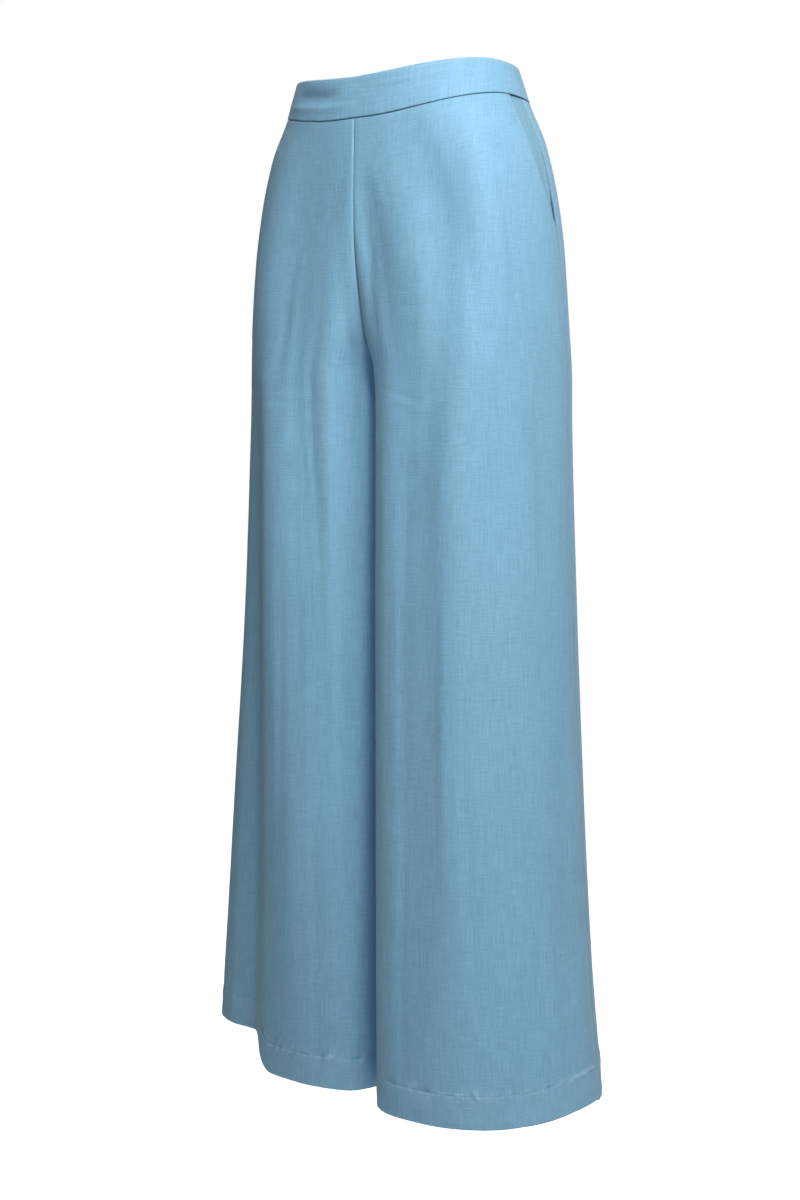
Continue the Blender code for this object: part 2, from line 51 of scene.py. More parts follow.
HEM_LINE = HEM_DOWN - HEM_BAND
BAND_SHELL = 0.0022
FACING_SHELL = 0.0009
BAG_SHELL = 0.0010
BAG_DEPTH = 0.0031
BAND_PROUD = 0.0006

TOP_DIP = 0.0158
SEAM_DIP = 0.0228
DIP_STARTS_AT = 0.10
TOP_DIP_FULL_AT = 1.00
SEAM_DIP_FULL_AT = 0.92
BACK_RISE = 0.010
DIP_FADE_DOWN = 0.254
SETTLED_DOWN = 0.240

POCKET_WIDTH_SHARE = 0.075
POCKET_END_DOWN = 0.163
POCKET_CURVE = 3.0
BAG_END_DOWN = 0.268

INNER_SQUARE = 3.2
HIP_SEAM_TURN = -math.radians(8.5)
LEG_SEAM_TURN = -math.radians(18.0)
SEAM_MOVES_FROM = 0.10
SEAM_MOVES_TO = 0.32
SIDES = {"left": 1.0, "right": -1.0}

Ring = namedtuple("Ring", "down outer inner front_x front back_x back mid_y square")
BODY_RINGS = (
    #    down   outer   inner  front_x front  back_x  back   mid_y  square
    Ring(0.000, 0.1190, -0.119, 0.000, 0.089, 0.000, 0.089, 0.000, 2.30),
    Ring(0.034, 0.1290, -0.114, 0.000, 0.093, 0.000, 0.095, 0.000, 2.45),
    Ring(0.079, 0.1460, -0.095, 0.010, 0.094, 0.003, 0.100, 0.000, 2.75),
    Ring(0.119, 0.1560, -0.072, 0.028, 0.095, 0.012, 0.103, 0.001, 2.75),
    Ring(0.169, 0.1630, -0.048, 0.050, 0.097, 0.030, 0.107, 0.002, 2.70),
    Ring(0.219, 0.1670, -0.025, 0.066, 0.100, 0.050, 0.109, 0.003, 2.55),
    Ring(0.269, 0.1690, -0.012, 0.075, 0.102, 0.070, 0.109, 0.004, 2.50),
    Ring(0.304, 0.1700, 0.00015, 0.078, 0.103, 0.080, 0.109, 0.005, 2.50),
)
LEG_RINGS = {
    "left": (
        Ring(0.354, 0.1710, 0.004, 0.078, 0.103, 0.085, 0.108, 0.005, 2.45),
        Ring(0.554, 0.1790, 0.004, 0.080, 0.105, 0.090, 0.109, 0.006, 2.35),
        Ring(0.754, 0.1905, 0.005, 0.082, 0.107, 0.096, 0.112, 0.008, 2.20),
        Ring(0.924, 0.2030, 0.006, 0.084, 0.109, 0.102, 0.115, 0.010, 2.05),
        Ring(1.053, 0.2170, 0.008, 0.086, 0.110, 0.106, 0.119, 0.012, 1.95),
    ),
    "right": (
        Ring(0.354, 0.1740, 0.004, 0.076, 0.101, 0.085, 0.109, 0.005, 2.45),
        Ring(0.554, 0.1930, 0.004, 0.074, 0.097, 0.092, 0.110, 0.010, 2.20),
        Ring(0.754, 0.2220, 0.004, 0.072, 0.091, 0.100, 0.112, 0.018, 1.95),
        Ring(0.924, 0.2460, 0.004, 0.070, 0.086, 0.108, 0.114, 0.024, 1.80),
        Ring(1.053, 0.2650, 0.004, 0.070, 0.083, 0.112, 0.116, 0.028, 1.70),
    ),
}

HemShift = namedtuple("HemShift", "side height full_to none_from")
HEM_SHIFTS = (
    HemShift("right", 0.033, 0.37, 0.49),
    HemShift("left", 0.012, 0.02, 0.40),
    HemShift("left", -0.006, 0.00, 0.07),
)
HEM_SHIFT_START = 0.72


def by_panel(fields, **panels):
    """Rows with named columns, by panel; a last column that is left out is 0."""
    row = namedtuple("Row", fields, defaults=[0.0])
    return {panel: [row(*values) for values in rows] for panel, rows in panels.items()}


# Large folds: where they start and end down the leg, their place along the
# ring at both, half their width as a share of the ring, and their height.
# A fold may end past the hem. bow is how far along the ring its middle bends.
FOLDS = by_panel("start end along_start along_end reach height bow", left_front=(
    # start end  along  along  reach  height
    (0.07, 0.34, 0.615, 0.650, 0.085, -0.0030),
    (0.08, 0.34, 0.505, 0.530, 0.080, 0.0020),
    (0.10, 0.40, 0.390, 0.500, 0.085, -0.0040),
    (0.26, 1.00, 0.520, 0.535, 0.085, -0.0035),
    (0.45, 1.30, 0.140, 0.260, 0.085, 0.0020),
    # This panel's other rows were made by a fitting program, not chosen by hand.
    (0.04, 0.34, 0.420, 0.520, 0.110, -0.0021),
    (0.02, 1.20, 0.540, 0.640, 0.110, -0.0020),
    (0.04, 0.34, 0.380, 0.280, 0.110, -0.0019),
    (0.04, 0.34, 0.260, 0.360, 0.045, 0.0018),
    (0.20, 0.75, 0.540, 0.640, 0.110, -0.0018),
    (0.02, 1.20, 0.380, 0.280, 0.110, -0.0017),
    (0.04, 0.34, 0.620, 0.720, 0.045, -0.0017),
    (0.04, 0.34, 0.220, 0.320, 0.045, 0.0016),
    (0.02, 1.20, 0.060, 0.060, 0.110, 0.0016),
    (0.04, 0.34, 0.140, 0.240, 0.110, -0.0016),
    (0.04, 0.34, 0.420, 0.320, 0.110, -0.0013),
    (0.02, 1.20, 0.660, 0.560, 0.075, -0.0011),
    (0.04, 0.34, 0.380, 0.480, 0.110, -0.0017),
    (0.04, 0.34, 0.260, 0.260, 0.045, 0.0010),
    (0.10, 0.50, 0.500, 0.600, 0.110, -0.0015),
    (0.10, 0.50, 0.220, 0.320, 0.110, -0.0014),
    (0.04, 0.34, 0.620, 0.720, 0.075, -0.0013),
    (0.02, 1.20, 0.060, 0.060, 0.110, 0.0013),
    (0.02, 1.20, 0.340, 0.340, 0.110, -0.0012),
), left_back=(
    (0.20, 0.90, 0.560, 0.600, 0.100, -0.0050),
    (0.33, 1.30, 0.380, 0.360, 0.090, 0.0040),
    (0.42, 1.40, 0.200, 0.230, 0.090, -0.0050),
    (0.50, 1.30, 0.760, 0.740, 0.080, -0.0030),
), right_front=(
    (0.20, 0.90, 0.575, 0.630, 0.080, 0.0030),
    (0.16, 0.82, 0.660, 0.700, 0.080, -0.0030),
    (0.24, 1.50, 0.400, 0.345, 0.100, -0.0130),
    (0.26, 1.50, 0.230, 0.190, 0.110, 0.0050),
    # This panel's other rows were made by a fitting program, not chosen by hand.
    (0.30, 1.05, 0.460, 0.560, 0.110, 0.0034),
    (0.20, 0.75, 0.780, 0.680, 0.110, -0.0034),
    (0.20, 0.75, 0.620, 0.620, 0.110, -0.0028),
    (0.04, 0.34, 0.460, 0.560, 0.110, -0.0025),
    (0.02, 1.20, 0.860, 0.760, 0.110, 0.0024),
    (0.02, 1.20, 0.580, 0.680, 0.075, -0.0024),
    (0.20, 0.75, 0.660, 0.560, 0.110, -0.0023),
    (0.10, 0.50, 0.500, 0.600, 0.110, -0.0023),
    (0.04, 0.34, 0.420, 0.520, 0.110, -0.0022),
    (0.10, 0.50, 0.540, 0.640, 0.110, -0.0020),
    (0.10, 0.50, 0.700, 0.800, 0.075, -0.0018),
    (0.02, 1.20, 0.740, 0.740, 0.045, -0.0009),
    (0.02, 1.20, 0.780, 0.680, 0.075, -0.0023),
    (0.20, 0.75, 0.780, 0.780, 0.045, -0.0021),
    (0.10, 0.50, 0.780, 0.880, 0.075, 0.0019),
    (0.10, 0.50, 0.820, 0.820, 0.045, 0.0018),
    (0.20, 0.75, 0.740, 0.740, 0.045, -0.0018),
    (0.04, 0.34, 0.380, 0.480, 0.110, -0.0016),
    (0.25, 1.55, 0.780, 0.680, 0.045, -0.0016),
    (0.30, 1.05, 0.500, 0.600, 0.075, 0.0013),
    (0.02, 1.20, 0.740, 0.640, 0.110, -0.0010),
), right_back=(
    (0.22, 1.00, 0.600, 0.560, 0.100, -0.0050),
    (0.30, 1.50, 0.400, 0.440, 0.090, 0.0050),
    (0.38, 1.50, 0.230, 0.300, 0.090, -0.0070),
    (0.55, 1.35, 0.780, 0.760, 0.080, -0.0030),
))
FOLD_SEAM_FADE = 0.06
CREASE_SEAM_FADE = 0.02
FOLD_REACH = 0.80
REACH_GROWS_FROM, REACH_FULL_AT = 0.27, 0.42

# Finer creases, with the same columns as the folds.
CREASES = by_panel("start end along_start along_end reach height bow", left_front=(
    # start end  along  along  reach  height   bow
    (0.30, 0.76, 0.585, 0.605, 0.034, -0.0008, 0.006),
    (0.38, 0.90, 0.632, 0.628, 0.030, 0.0006, 0.000),
    (0.12, 0.27, 0.575, 0.625, 0.030, -0.0005, 0.010),
    (0.15, 0.33, 0.670, 0.650, 0.030, 0.0004, 0.004),
    (0.50, 0.86, 0.470, 0.480, 0.026, 0.0010, 0.006),
    (0.56, 0.96, 0.415, 0.400, 0.030, -0.0009, 0.008),
    (0.64, 1.08, 0.340, 0.330, 0.030, 0.0010, -0.006),
    (0.70, 1.09, 0.230, 0.200, 0.026, -0.0008, 0.004),
    (0.30, 0.56, 0.180, 0.160, 0.030, -0.0007, 0.004),
    (0.72, 1.06, 0.600, 0.610, 0.024, -0.0008, 0.004),
), right_front=(
    (0.15, 0.42, 0.520, 0.560, 0.026, 0.0006, 0.008),
    (0.18, 0.50, 0.620, 0.640, 0.024, -0.0006, 0.006),
    (0.26, 0.62, 0.600, 0.660, 0.020, 0.0005, 0.004),
    (0.33, 0.76, 0.470, 0.440, 0.028, 0.0006, 0.006),
    (0.42, 0.90, 0.540, 0.530, 0.024, -0.0006, 0.004),
    (0.52, 1.06, 0.620, 0.640, 0.024, 0.0006, -0.006),
    (0.64, 1.09, 0.340, 0.320, 0.030, 0.0005, 0.006),
    (0.70, 1.09, 0.700, 0.690, 0.022, -0.0005, 0.004),
))

# Short wrinkles that lie across the cloth. reach is in metres.
WRINKLES = by_panel("along_start along_end down_start down_end reach height", left_front=(
    # along along  down   down   reach   height
    (0.700, 0.540, 0.322, 0.341, 0.0030, -0.00035),
    (0.660, 0.520, 0.334, 0.352, 0.0036, 0.00025),
    (0.860, 0.700, 0.292, 0.330, 0.0040, -0.00035),
    (0.620, 0.450, 0.236, 0.232, 0.0030, 0.0003),
    (0.610, 0.470, 0.248, 0.244, 0.0030, -0.0003),
), left_back=(
    (0.420, 0.800, 0.352, 0.328, 0.0045, -0.0009),
    (0.560, 0.880, 0.334, 0.312, 0.0040, 0.0008),
    (0.300, 0.560, 0.296, 0.310, 0.0040, -0.0006),
), right_front=(
    (0.290, 0.500, 0.321, 0.325, 0.0034, -0.00035),
    (0.420, 0.640, 0.328, 0.331, 0.0030, 0.00030),
    (0.500, 0.720, 0.046, 0.050, 0.0040, -0.0006),
), right_back=(
    (0.460, 0.860, 0.346, 0.322, 0.0045, -0.0010),
    (0.350, 0.620, 0.322, 0.330, 0.0040, 0.0007),
    (0.620, 0.900, 0.300, 0.286, 0.0036, -0.0006),
))


def blend(low, high, value):
    """0 up to low, 1 from high on, and a smooth step between."""
    share = np.clip((value - low) / (high - low), 0.0, 1.0)
    return share * share * (3.0 - 2.0 * share)


def bell(distance, width):
    """1 at no distance, with a smooth fall to both sides."""
    return np.exp(-(distance / width) ** 2)


def curl(distance, width):
    """1 at an edge, falling evenly to 0 at a width from it."""
    return np.clip(1.0 - distance / width, 0.0, 1.0)


def curve(xs, ys, x):
    """Smooth curve through the points, which never overshoots."""
    x = np.clip(x, xs[0], xs[-1])
    k = np.clip(np.searchsorted(xs, x, side="left") - 1, 0, len(xs) - 2)
    slopes = np.diff(ys) / np.diff(xs)
    one, other = slopes[:-1], slopes[1:]
    same = one * other > 0.0
    middle = np.where(same, 2.0 * one * other / np.where(same, one + other, 1.0), 0.0)
    tangents = np.concatenate([slopes[:1], middle, slopes[-1:]])
    width = (xs[1:] - xs[:-1])[k]
    t = (x - xs[k]) / width
    ends = ys[k] * (1 + 2 * t) * (1 - t) ** 2 + ys[k + 1] * t * t * (3 - 2 * t)
    return ends + width * (tangents[k] * t * (1 - t) ** 2 - tangents[k + 1] * t * t * (1 - t))


def rings_at(side, down):
    """Ring values of one half at an array of distances down."""
    table = np.array(BODY_RINGS + LEG_RINGS[side])
    return Ring(*(curve(table[:, 0], table[:, c], down) for c in range(table.shape[1])))


def ring_points(ring, turn):
    """X and Y of rings at turns, 0 at the widest place and positive round the front."""
    front = turn >= 0
    peak = np.where(front, ring.front_x, ring.back_x)
    reach = np.where(front, -ring.front - ring.mid_y, ring.back - ring.mid_y)
    across = np.cos(turn)
    outward = across > 0
    power = 2.0 / np.where(outward, ring.square, INNER_SQUARE)
    side_reach = np.abs(np.where(outward, ring.outer, ring.inner) - peak)
    x = peak + np.sign(across) * side_reach * np.abs(across) ** power
    y = ring.mid_y + reach * np.abs(np.sin(turn)) ** power
    return x, y


def turn_steps():
    """Turns all round a ring, closer where its corners would stretch them."""
    place = np.linspace(0.0, 1.0, 110)
    low, high = place ** 1.5, (1.0 - place) ** 1.5
    quarter = 0.5 * math.pi * low / (low + high)
    parts = [quarter + k * 0.5 * math.pi for k in (-2, -1, 0, 1)]
    return np.unique(np.round(np.concatenate(parts), 12))


TURNS = turn_steps()
NORMAL_TURN = 0.004


class Cloth:
    """One half of the garment's front or back as a surface of rows at distances down."""

    def __init__(self, side, face, downs):
        self.side, self.face, self.panel = side, face, f"{side}_{face}"
        self.down = np.asarray(downs, float)[:, None]
        self.ring = rings_at(side, self.down)
        x, y = ring_points(self.ring, TURNS[None, :])
        steps = np.hypot(np.diff(x, axis=1), np.diff(y, axis=1))
        length = np.concatenate([np.zeros((len(x), 1)), np.cumsum(steps, axis=1)], axis=1)
        move = blend(SEAM_MOVES_FROM, SEAM_MOVES_TO, self.down)
        start = HIP_SEAM_TURN + (LEG_SEAM_TURN - HIP_SEAM_TURN) * move
        at_start = self.rows(start, TURNS, length)
        if face == "front":
            self.turns, self.lengths = TURNS, length - at_start
        else:
            self.turns = TURNS[::-1]
            self.lengths = (at_start - length)[:, ::-1]
            x = x[:, ::-1]
        self.whole = self.lengths[:, -1:]
        self.first = 0.5 * SEAM_GAP / self.whole
        self.last = 1.0 - self.first
        for i in np.nonzero(self.down[:, 0] < CROTCH_DOWN)[0]:
            k = len(TURNS) - 1
            while x[i, k - 1] < 0.5 * SEAM_GAP:
                k -= 1
            part = (x[i, k - 1] - 0.5 * SEAM_GAP) / (x[i, k - 1] - x[i, k])
            reach = self.lengths[i, k - 1] + part * (self.lengths[i, k] - self.lengths[i, k - 1])
            self.last[i, 0] = reach / self.whole[i, 0]
        self.width = (self.last - self.first) * self.whole

    @staticmethod
    def rows(where, xs, table):
        """Reads each row of a table at its own places."""
        where = np.broadcast_to(where, (len(table), where.shape[1]))
        xs = np.broadcast_to(xs, table.shape)
        return np.array([np.interp(w, x, t) for w, x, t in zip(where, xs, table)])

    def turn(self, along):
        goal = along * self.whole
        turns = np.broadcast_to(self.turns, self.lengths.shape)
        return self.rows(goal, self.lengths, turns)

    def ridges(self, rows, along, power):
        """Sum of round folds down the cloth, which fade towards both ends."""
        total = np.zeros(along.shape)
        for row in rows:
            run = np.clip((self.down - row.start) / (row.end - row.start), 0.0, 1.0)
            swell = np.sin(math.pi * run)
            centre = row.along_start + (row.along_end - row.along_start) * run + row.bow * swell
            offset = np.clip((along - centre) / row.reach, -1.0, 1.0)
            total += row.height * swell ** power * np.cos(0.5 * math.pi * offset) ** 2
        return total

    def folds(self, along):
        """Height of the large folds, which die out at the seams."""
        reach = FOLD_REACH + (1.0 - FOLD_REACH) * blend(REACH_GROWS_FROM, REACH_FULL_AT, self.down)
        reach = np.minimum(self.last, reach)
        fade = blend(0.0, FOLD_SEAM_FADE, along) * blend(0.0, FOLD_SEAM_FADE, reach - along)
        return self.ridges(FOLDS[self.panel], along, 0.7) * fade

    def creases(self, along):
        """Height of the fine creases down the cloth and the wrinkles across it."""
        total = self.ridges(CREASES.get(self.panel, ()), along, 0.9)
        for row in WRINKLES[self.panel]:
            run = (along - row.along_start) / (row.along_end - row.along_start)
            run = np.clip(run, 0.0, 1.0)
            middle = row.down_start + (row.down_end - row.down_start) * run
            swell = np.sin(math.pi * run) ** 0.8
            total += row.height * swell * bell(self.down - middle, row.reach)
        fade = blend(0.0, CREASE_SEAM_FADE, along)
        return total * fade * blend(0.0, CREASE_SEAM_FADE, self.last - along)

    def waist_lift(self, along):
        share = along / self.last
        band = np.minimum(self.down / BAND_HEIGHT, 1.0)
        dip = TOP_DIP + (SEAM_DIP - TOP_DIP) * band
        full_at = TOP_DIP_FULL_AT + (SEAM_DIP_FULL_AT - TOP_DIP_FULL_AT) * band
        if self.face == "back":
            lift = BACK_RISE * blend(0.0, 1.0, share)
        else:
            lift = -dip * blend(DIP_STARTS_AT, full_at, share)
        return lift * (1.0 - blend(BAND_HEIGHT, DIP_FADE_DOWN, self.down))

    def hem_lift(self, along):
        total = np.zeros(along.shape)
        for shift in HEM_SHIFTS:
            if shift.side == self.side:
                place = 1.0 - blend(shift.full_to, shift.none_from, along)
                total += shift.height * place * blend(HEM_SHIFT_START, HEM_DOWN, self.down)
        return total

    def points(self, along, out):
        """Points at shares along the rings, moved out along the level normal."""
        turn = self.turn(along)
        x, y = ring_points(self.ring, turn)
        x0, y0 = ring_points(self.ring, turn - NORMAL_TURN)
        x1, y1 = ring_points(self.ring, turn + NORMAL_TURN)
        length = np.hypot(x1 - x0, y1 - y0)
        out = self.folds(along) + out
        x = np.maximum(x - (y1 - y0) / length * out, 0.5 * SEAM_GAP)
        y = y + (x1 - x0) / length * out
        z = -self.down + self.waist_lift(along) + self.hem_lift(along)
        return np.stack([SIDES[self.side] * x, y, z + 0.0 * x], axis=-1)

    def wall(self, along, out, depth):
        """Points of both faces of a layer, the inner one a depth below."""
        return self.points(along, out), self.points(along, out - depth)


def slant(down):
    """Share of the ring at the pocket's opening, 0 below the pocket."""
    run = np.clip((down - BAND_HEIGHT) / (POCKET_END_DOWN - BAND_HEIGHT), 0.0, 1.0)
    return POCKET_WIDTH_SHARE * (1.0 - run ** POCKET_CURVE)


def noise(u, v, seed):
    """Smooth uneven field from -1 to 1, one swell for each unit of u and v."""
    table = np.random.RandomState(seed).uniform(-1.0, 1.0, (64, 64))
    i, j = np.floor(u).astype(int), np.floor(v).astype(int)
    fu, fv = u - i, v - j
    fu, fv = fu * fu * (3 - 2 * fu), fv * fv * (3 - 2 * fv)
    a, b = table[i % 64, j % 64], table[(i + 1) % 64, j % 64]
    c, d = table[i % 64, (j + 1) % 64], table[(i + 1) % 64, (j + 1) % 64]
    return (a * (1 - fu) + b * fu) * (1 - fv) + (c * (1 - fu) + d * fu) * fv


# ---------------------------------------------------------------- meshes
def mesh_object(name, points, quads, uv, bake, lit):
    """Object from points and quads; uv and bake hold a place for each corner of a quad."""
    mesh = bpy.data.meshes.new(name)
    mesh.vertices.add(len(points))
    mesh.vertices.foreach_set("co", points.astype(np.float32).ravel())
    mesh.loops.add(quads.size)
    mesh.loops.foreach_set("vertex_index", quads.astype(np.int32).ravel())
    mesh.polygons.add(len(quads))
    mesh.polygons.foreach_set("loop_start", np.arange(0, quads.size, 4, dtype=np.int32))
    mesh.polygons.foreach_set("loop_total", np.full(len(quads), 4, np.int32))
    mesh.update(calc_edges=True)
    for label, place in (("cloth", uv), ("OFBake", bake)):
        layer = mesh.uv_layers.new(name=label)
        layer.data.foreach_set("uv", place.astype(np.float32).ravel())
    light = mesh.attributes.new("painted_light_and_tone", "FLOAT", "POINT")
    light.data.foreach_set("value", lit.astype(np.float32))
    mesh.shade_smooth()
    piece = bpy.data.objects.new(name, mesh)
    bpy.context.scene.collection.objects.link(piece)
    return piece


def shell(name, outside, inside, uv, lit, rounding=(0.25, 0.25, 0.25, 0.25)):
    """Closed thin shell between two grids; its rim swells by a share of its thickness.

    rounding is for the first row, last row, first column and last column.
    """
    rows, columns = outside.shape[:2]
    count = rows * columns
    index = np.arange(count).reshape(rows, columns)
    a, b, c, d = index[:-1, :-1], index[:-1, 1:], index[1:, 1:], index[1:, :-1]
    outer = np.stack([a, b, c, d], axis=-1).reshape(-1, 4)
    ring = np.concatenate([index[0, :-1], index[:-1, -1], index[-1, :0:-1], index[:0:-1, 0]])
    next_in = np.pad(index[1:-1, 1:-1], 1, mode="edge").ravel()[ring]
    share = np.zeros((rows, columns))
    share[0], share[-1] = rounding[0], rounding[1]
    share[1:-1, 0], share[1:-1, -1] = rounding[2], rounding[3]
    flat_out, flat_in = outside.reshape(-1, 3), inside.reshape(-1, 3)
    away = flat_out[ring] - flat_out[next_in]
    away /= np.linalg.norm(away, axis=1, keepdims=True)
    thick = np.linalg.norm(flat_out[ring] - flat_in[ring], axis=1, keepdims=True)
    middle = 0.5 * (flat_out[ring] + flat_in[ring])
    middle += away * thick * share.ravel()[ring][:, None]
    order = np.arange(len(ring))
    after = np.roll(order, -1)
    mid = 2 * count + order
    rim_a = np.stack([ring, mid, mid[after], ring[after]], axis=1)
    rim_b = np.stack([mid, ring + count, ring[after] + count, mid[after]], axis=1)
    quads = np.concatenate([outer, outer[:, ::-1] + count, rim_a, rim_b])
    points = np.concatenate([flat_out, flat_in, middle])
    flat_uv = uv.reshape(-1, 2)
    places = np.concatenate([flat_uv, flat_uv, flat_uv[ring]])[quads]
    low, high = flat_uv.min(0), flat_uv.max(0)
    half = (flat_uv - low) / (high - low) * [0.47, 0.96] + [0.015, 0.02]
    step = half[ring] - half[next_in]
    lip = half[ring] + step / np.linalg.norm(step, axis=1, keepdims=True) * 0.003
    shift = np.array([0.5, 0.0])
    bake_out = np.concatenate([half, half + shift, lip])
    bake_in = np.concatenate([half, half + shift, lip + shift])
    bakes = bake_out[quads]
    bakes[-len(rim_b):] = bake_in[rim_b]
    light = lit.ravel()
    all_lit = np.concatenate([light, 0.0 * light, light[ring]])
    i, j = rows // 2, columns // 2
    across = outside[i, j] - outside[i, j - 1]
    drop = outside[i + 1, j] - outside[i, j]
    if np.dot(np.cross(across, drop), outside[i, j] - inside[i, j]) < 0:
        quads, places, bakes = quads[:, ::-1], places[:, ::-1], bakes[:, ::-1]
    return mesh_object(name, points, quads, places, bakes, all_lit)


def tubes(name, lines, normals, radius, sides=6):
    """Many short rods as one object; lines is rods x points x 3, with a radius for each point."""
    rods, steps = lines.shape[:2]
    along = np.gradient(lines, axis=1)
    along /= np.linalg.norm(along, axis=2, keepdims=True)
    across = np.cross(along, normals)
    across /= np.linalg.norm(across, axis=2, keepdims=True)
    up = np.cross(across, along)
    turn = np.arange(sides) * 2 * math.pi / sides
    ring = np.cos(turn)[:, None] * across[:, :, None, :]
    ring = ring + np.sin(turn)[:, None] * up[:, :, None, :]
    points = lines[:, :, None, :] + np.asarray(radius)[None, :, None, None] * ring
    index = np.arange(rods * steps * sides).reshape(rods, steps, sides)
    a, b = index[:, :-1], index[:, 1:]
    quads = np.stack([a, np.roll(a, -1, 2), np.roll(b, -1, 2), b], axis=-1).reshape(-1, 4)
    caps = []
    for end, turned in ((index[:, 0], 1), (index[:, -1], -1)):
        for k in range(0, sides - 2, 2):
            quad = np.stack([end[:, 0], end[:, k + 3 if k + 3 < sides else 0],
                             end[:, k + 2], end[:, k + 1]], axis=1)
            caps.append(quad[:, ::turned])
    quads = np.concatenate([quads] + caps)
    flat_points = points.reshape(-1, 3)
    uv = np.stack([np.tile(turn * 0.0003, rods * steps),
                   np.repeat(np.arange(rods * steps) * 0.0007, sides)], axis=1)
    span = uv.max(0) - uv.min(0) + 1e-9
    bake = (uv - uv.min(0)) / span * 0.96 + 0.02
    lit = np.full(len(flat_points), 0.3)
    return mesh_object(name, flat_points, quads, uv[quads], bake[quads], lit)


def dressed(piece, slot, material, *nodes):
    """Gives a piece its material and its body, and hides the CAD nodes it stands for; slot is not
    used.
    """
    piece.data.materials.append(material)
    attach(piece, "trousers")
    if nodes:
        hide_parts(*nodes)
    return piece


# ---------------------------------------------------------------- cloth detail
EDGE_STEPS = (0.0, 0.0016, 0.0034, 0.0056, 0.0085, 0.0125, 0.0175)


def column_shares(count):
    """Shares across a panel, closer at both edges."""
    inner = np.linspace(0.0235, 1.0 - 0.0235, count)
    edge = np.array(EDGE_STEPS)
    return np.concatenate([edge, inner, 1.0 - edge[::-1]])


def panel_downs():
    """Distances down of a panel's rows, closer at the waist, crotch and hem."""
    line = HEM_LINE
    parts = [
        PANEL_TOP + np.array([0.0, 0.0005, 0.0011, 0.0018, 0.0028, 0.0042]),
        np.linspace(PANEL_TOP + 0.006, SETTLED_DOWN, 48),
        np.linspace(SETTLED_DOWN + 0.0022, CROTCH_DOWN + 0.056, 52),
        np.linspace(CROTCH_DOWN + 0.063, line - 0.048, 66),
        np.linspace(line - 0.044, line - 0.002, 24),
        line + np.array([-0.0013, -0.0007, 0.0, 0.0007, 0.0013]),
        np.linspace(line + 0.002, HEM_DOWN - 0.0016, 18),
        HEM_DOWN - np.array([0.0008, 0.0003, 0.0]),
        CROTCH_DOWN - np.array([0.0034, 0.0024, 0.0015, 0.0008, 0.0004, 0.0001]),
    ]
    return np.unique(np.concatenate(parts))


# Puckers pulled up by the hem's stitches: place along the ring, half width,
# how far they reach up and down, how much they lean, and how strong they are.
PUCKERS = by_panel("along width up down lean height", left_front=(
    # along width   up     down   lean  height
    (0.588, 0.0040, 0.005, 0.004, 0.8, 1.0),
    (0.570, 0.0016, 0.016, 0.002, -0.3, 0.8),
    (0.527, 0.0022, 0.008, 0.016, 0.5, 0.7),
    (0.497, 0.0050, 0.002, 0.002, 0.6, 0.6),
    (0.456, 0.0050, 0.002, 0.002, 0.5, 0.8),
    (0.407, 0.0024, 0.006, 0.004, -0.4, 1.4),
    (0.376, 0.0050, 0.003, 0.002, 0.9, 0.7),
    (0.336, 0.0060, 0.004, 0.002, 1.2, 0.6),
    (0.295, 0.0060, 0.003, 0.002, 1.2, 0.7),
    (0.240, 0.0040, 0.006, 0.002, 0.8, 0.3),
    (0.190, 0.0060, 0.003, 0.002, 1.4, 0.8),
    (0.137, 0.0110, 0.002, 0.002, 1.6, 1.0),
    (0.095, 0.0090, 0.003, 0.002, 1.0, 1.2),
    (0.060, 0.0090, 0.002, 0.002, 0.6, 1.1),
), left_back=(
    (0.220, 0.0050, 0.005, 0.003, 0.8, 0.50),
    (0.410, 0.0040, 0.009, 0.005, -0.5, 0.39),
    (0.640, 0.0060, 0.003, 0.003, 1.0, 0.44),
), right_front=(
    (0.640, 0.0060, 0.004, 0.003, 0.6, 0.7),
    (0.590, 0.0040, 0.008, 0.003, -0.6, 0.5),
    (0.700, 0.0080, 0.002, 0.002, 0.8, 0.7),
    (0.480, 0.0050, 0.010, 0.006, 0.7, 0.6),
), right_back=(
    (0.180, 0.0050, 0.004, 0.003, 0.7, 0.50),
    (0.360, 0.0045, 0.008, 0.006, -0.6, 0.39),
    (0.580, 0.0060, 0.003, 0.002, 1.2, 0.50),
    (0.820, 0.0050, 0.006, 0.003, 0.6, 0.33),
))


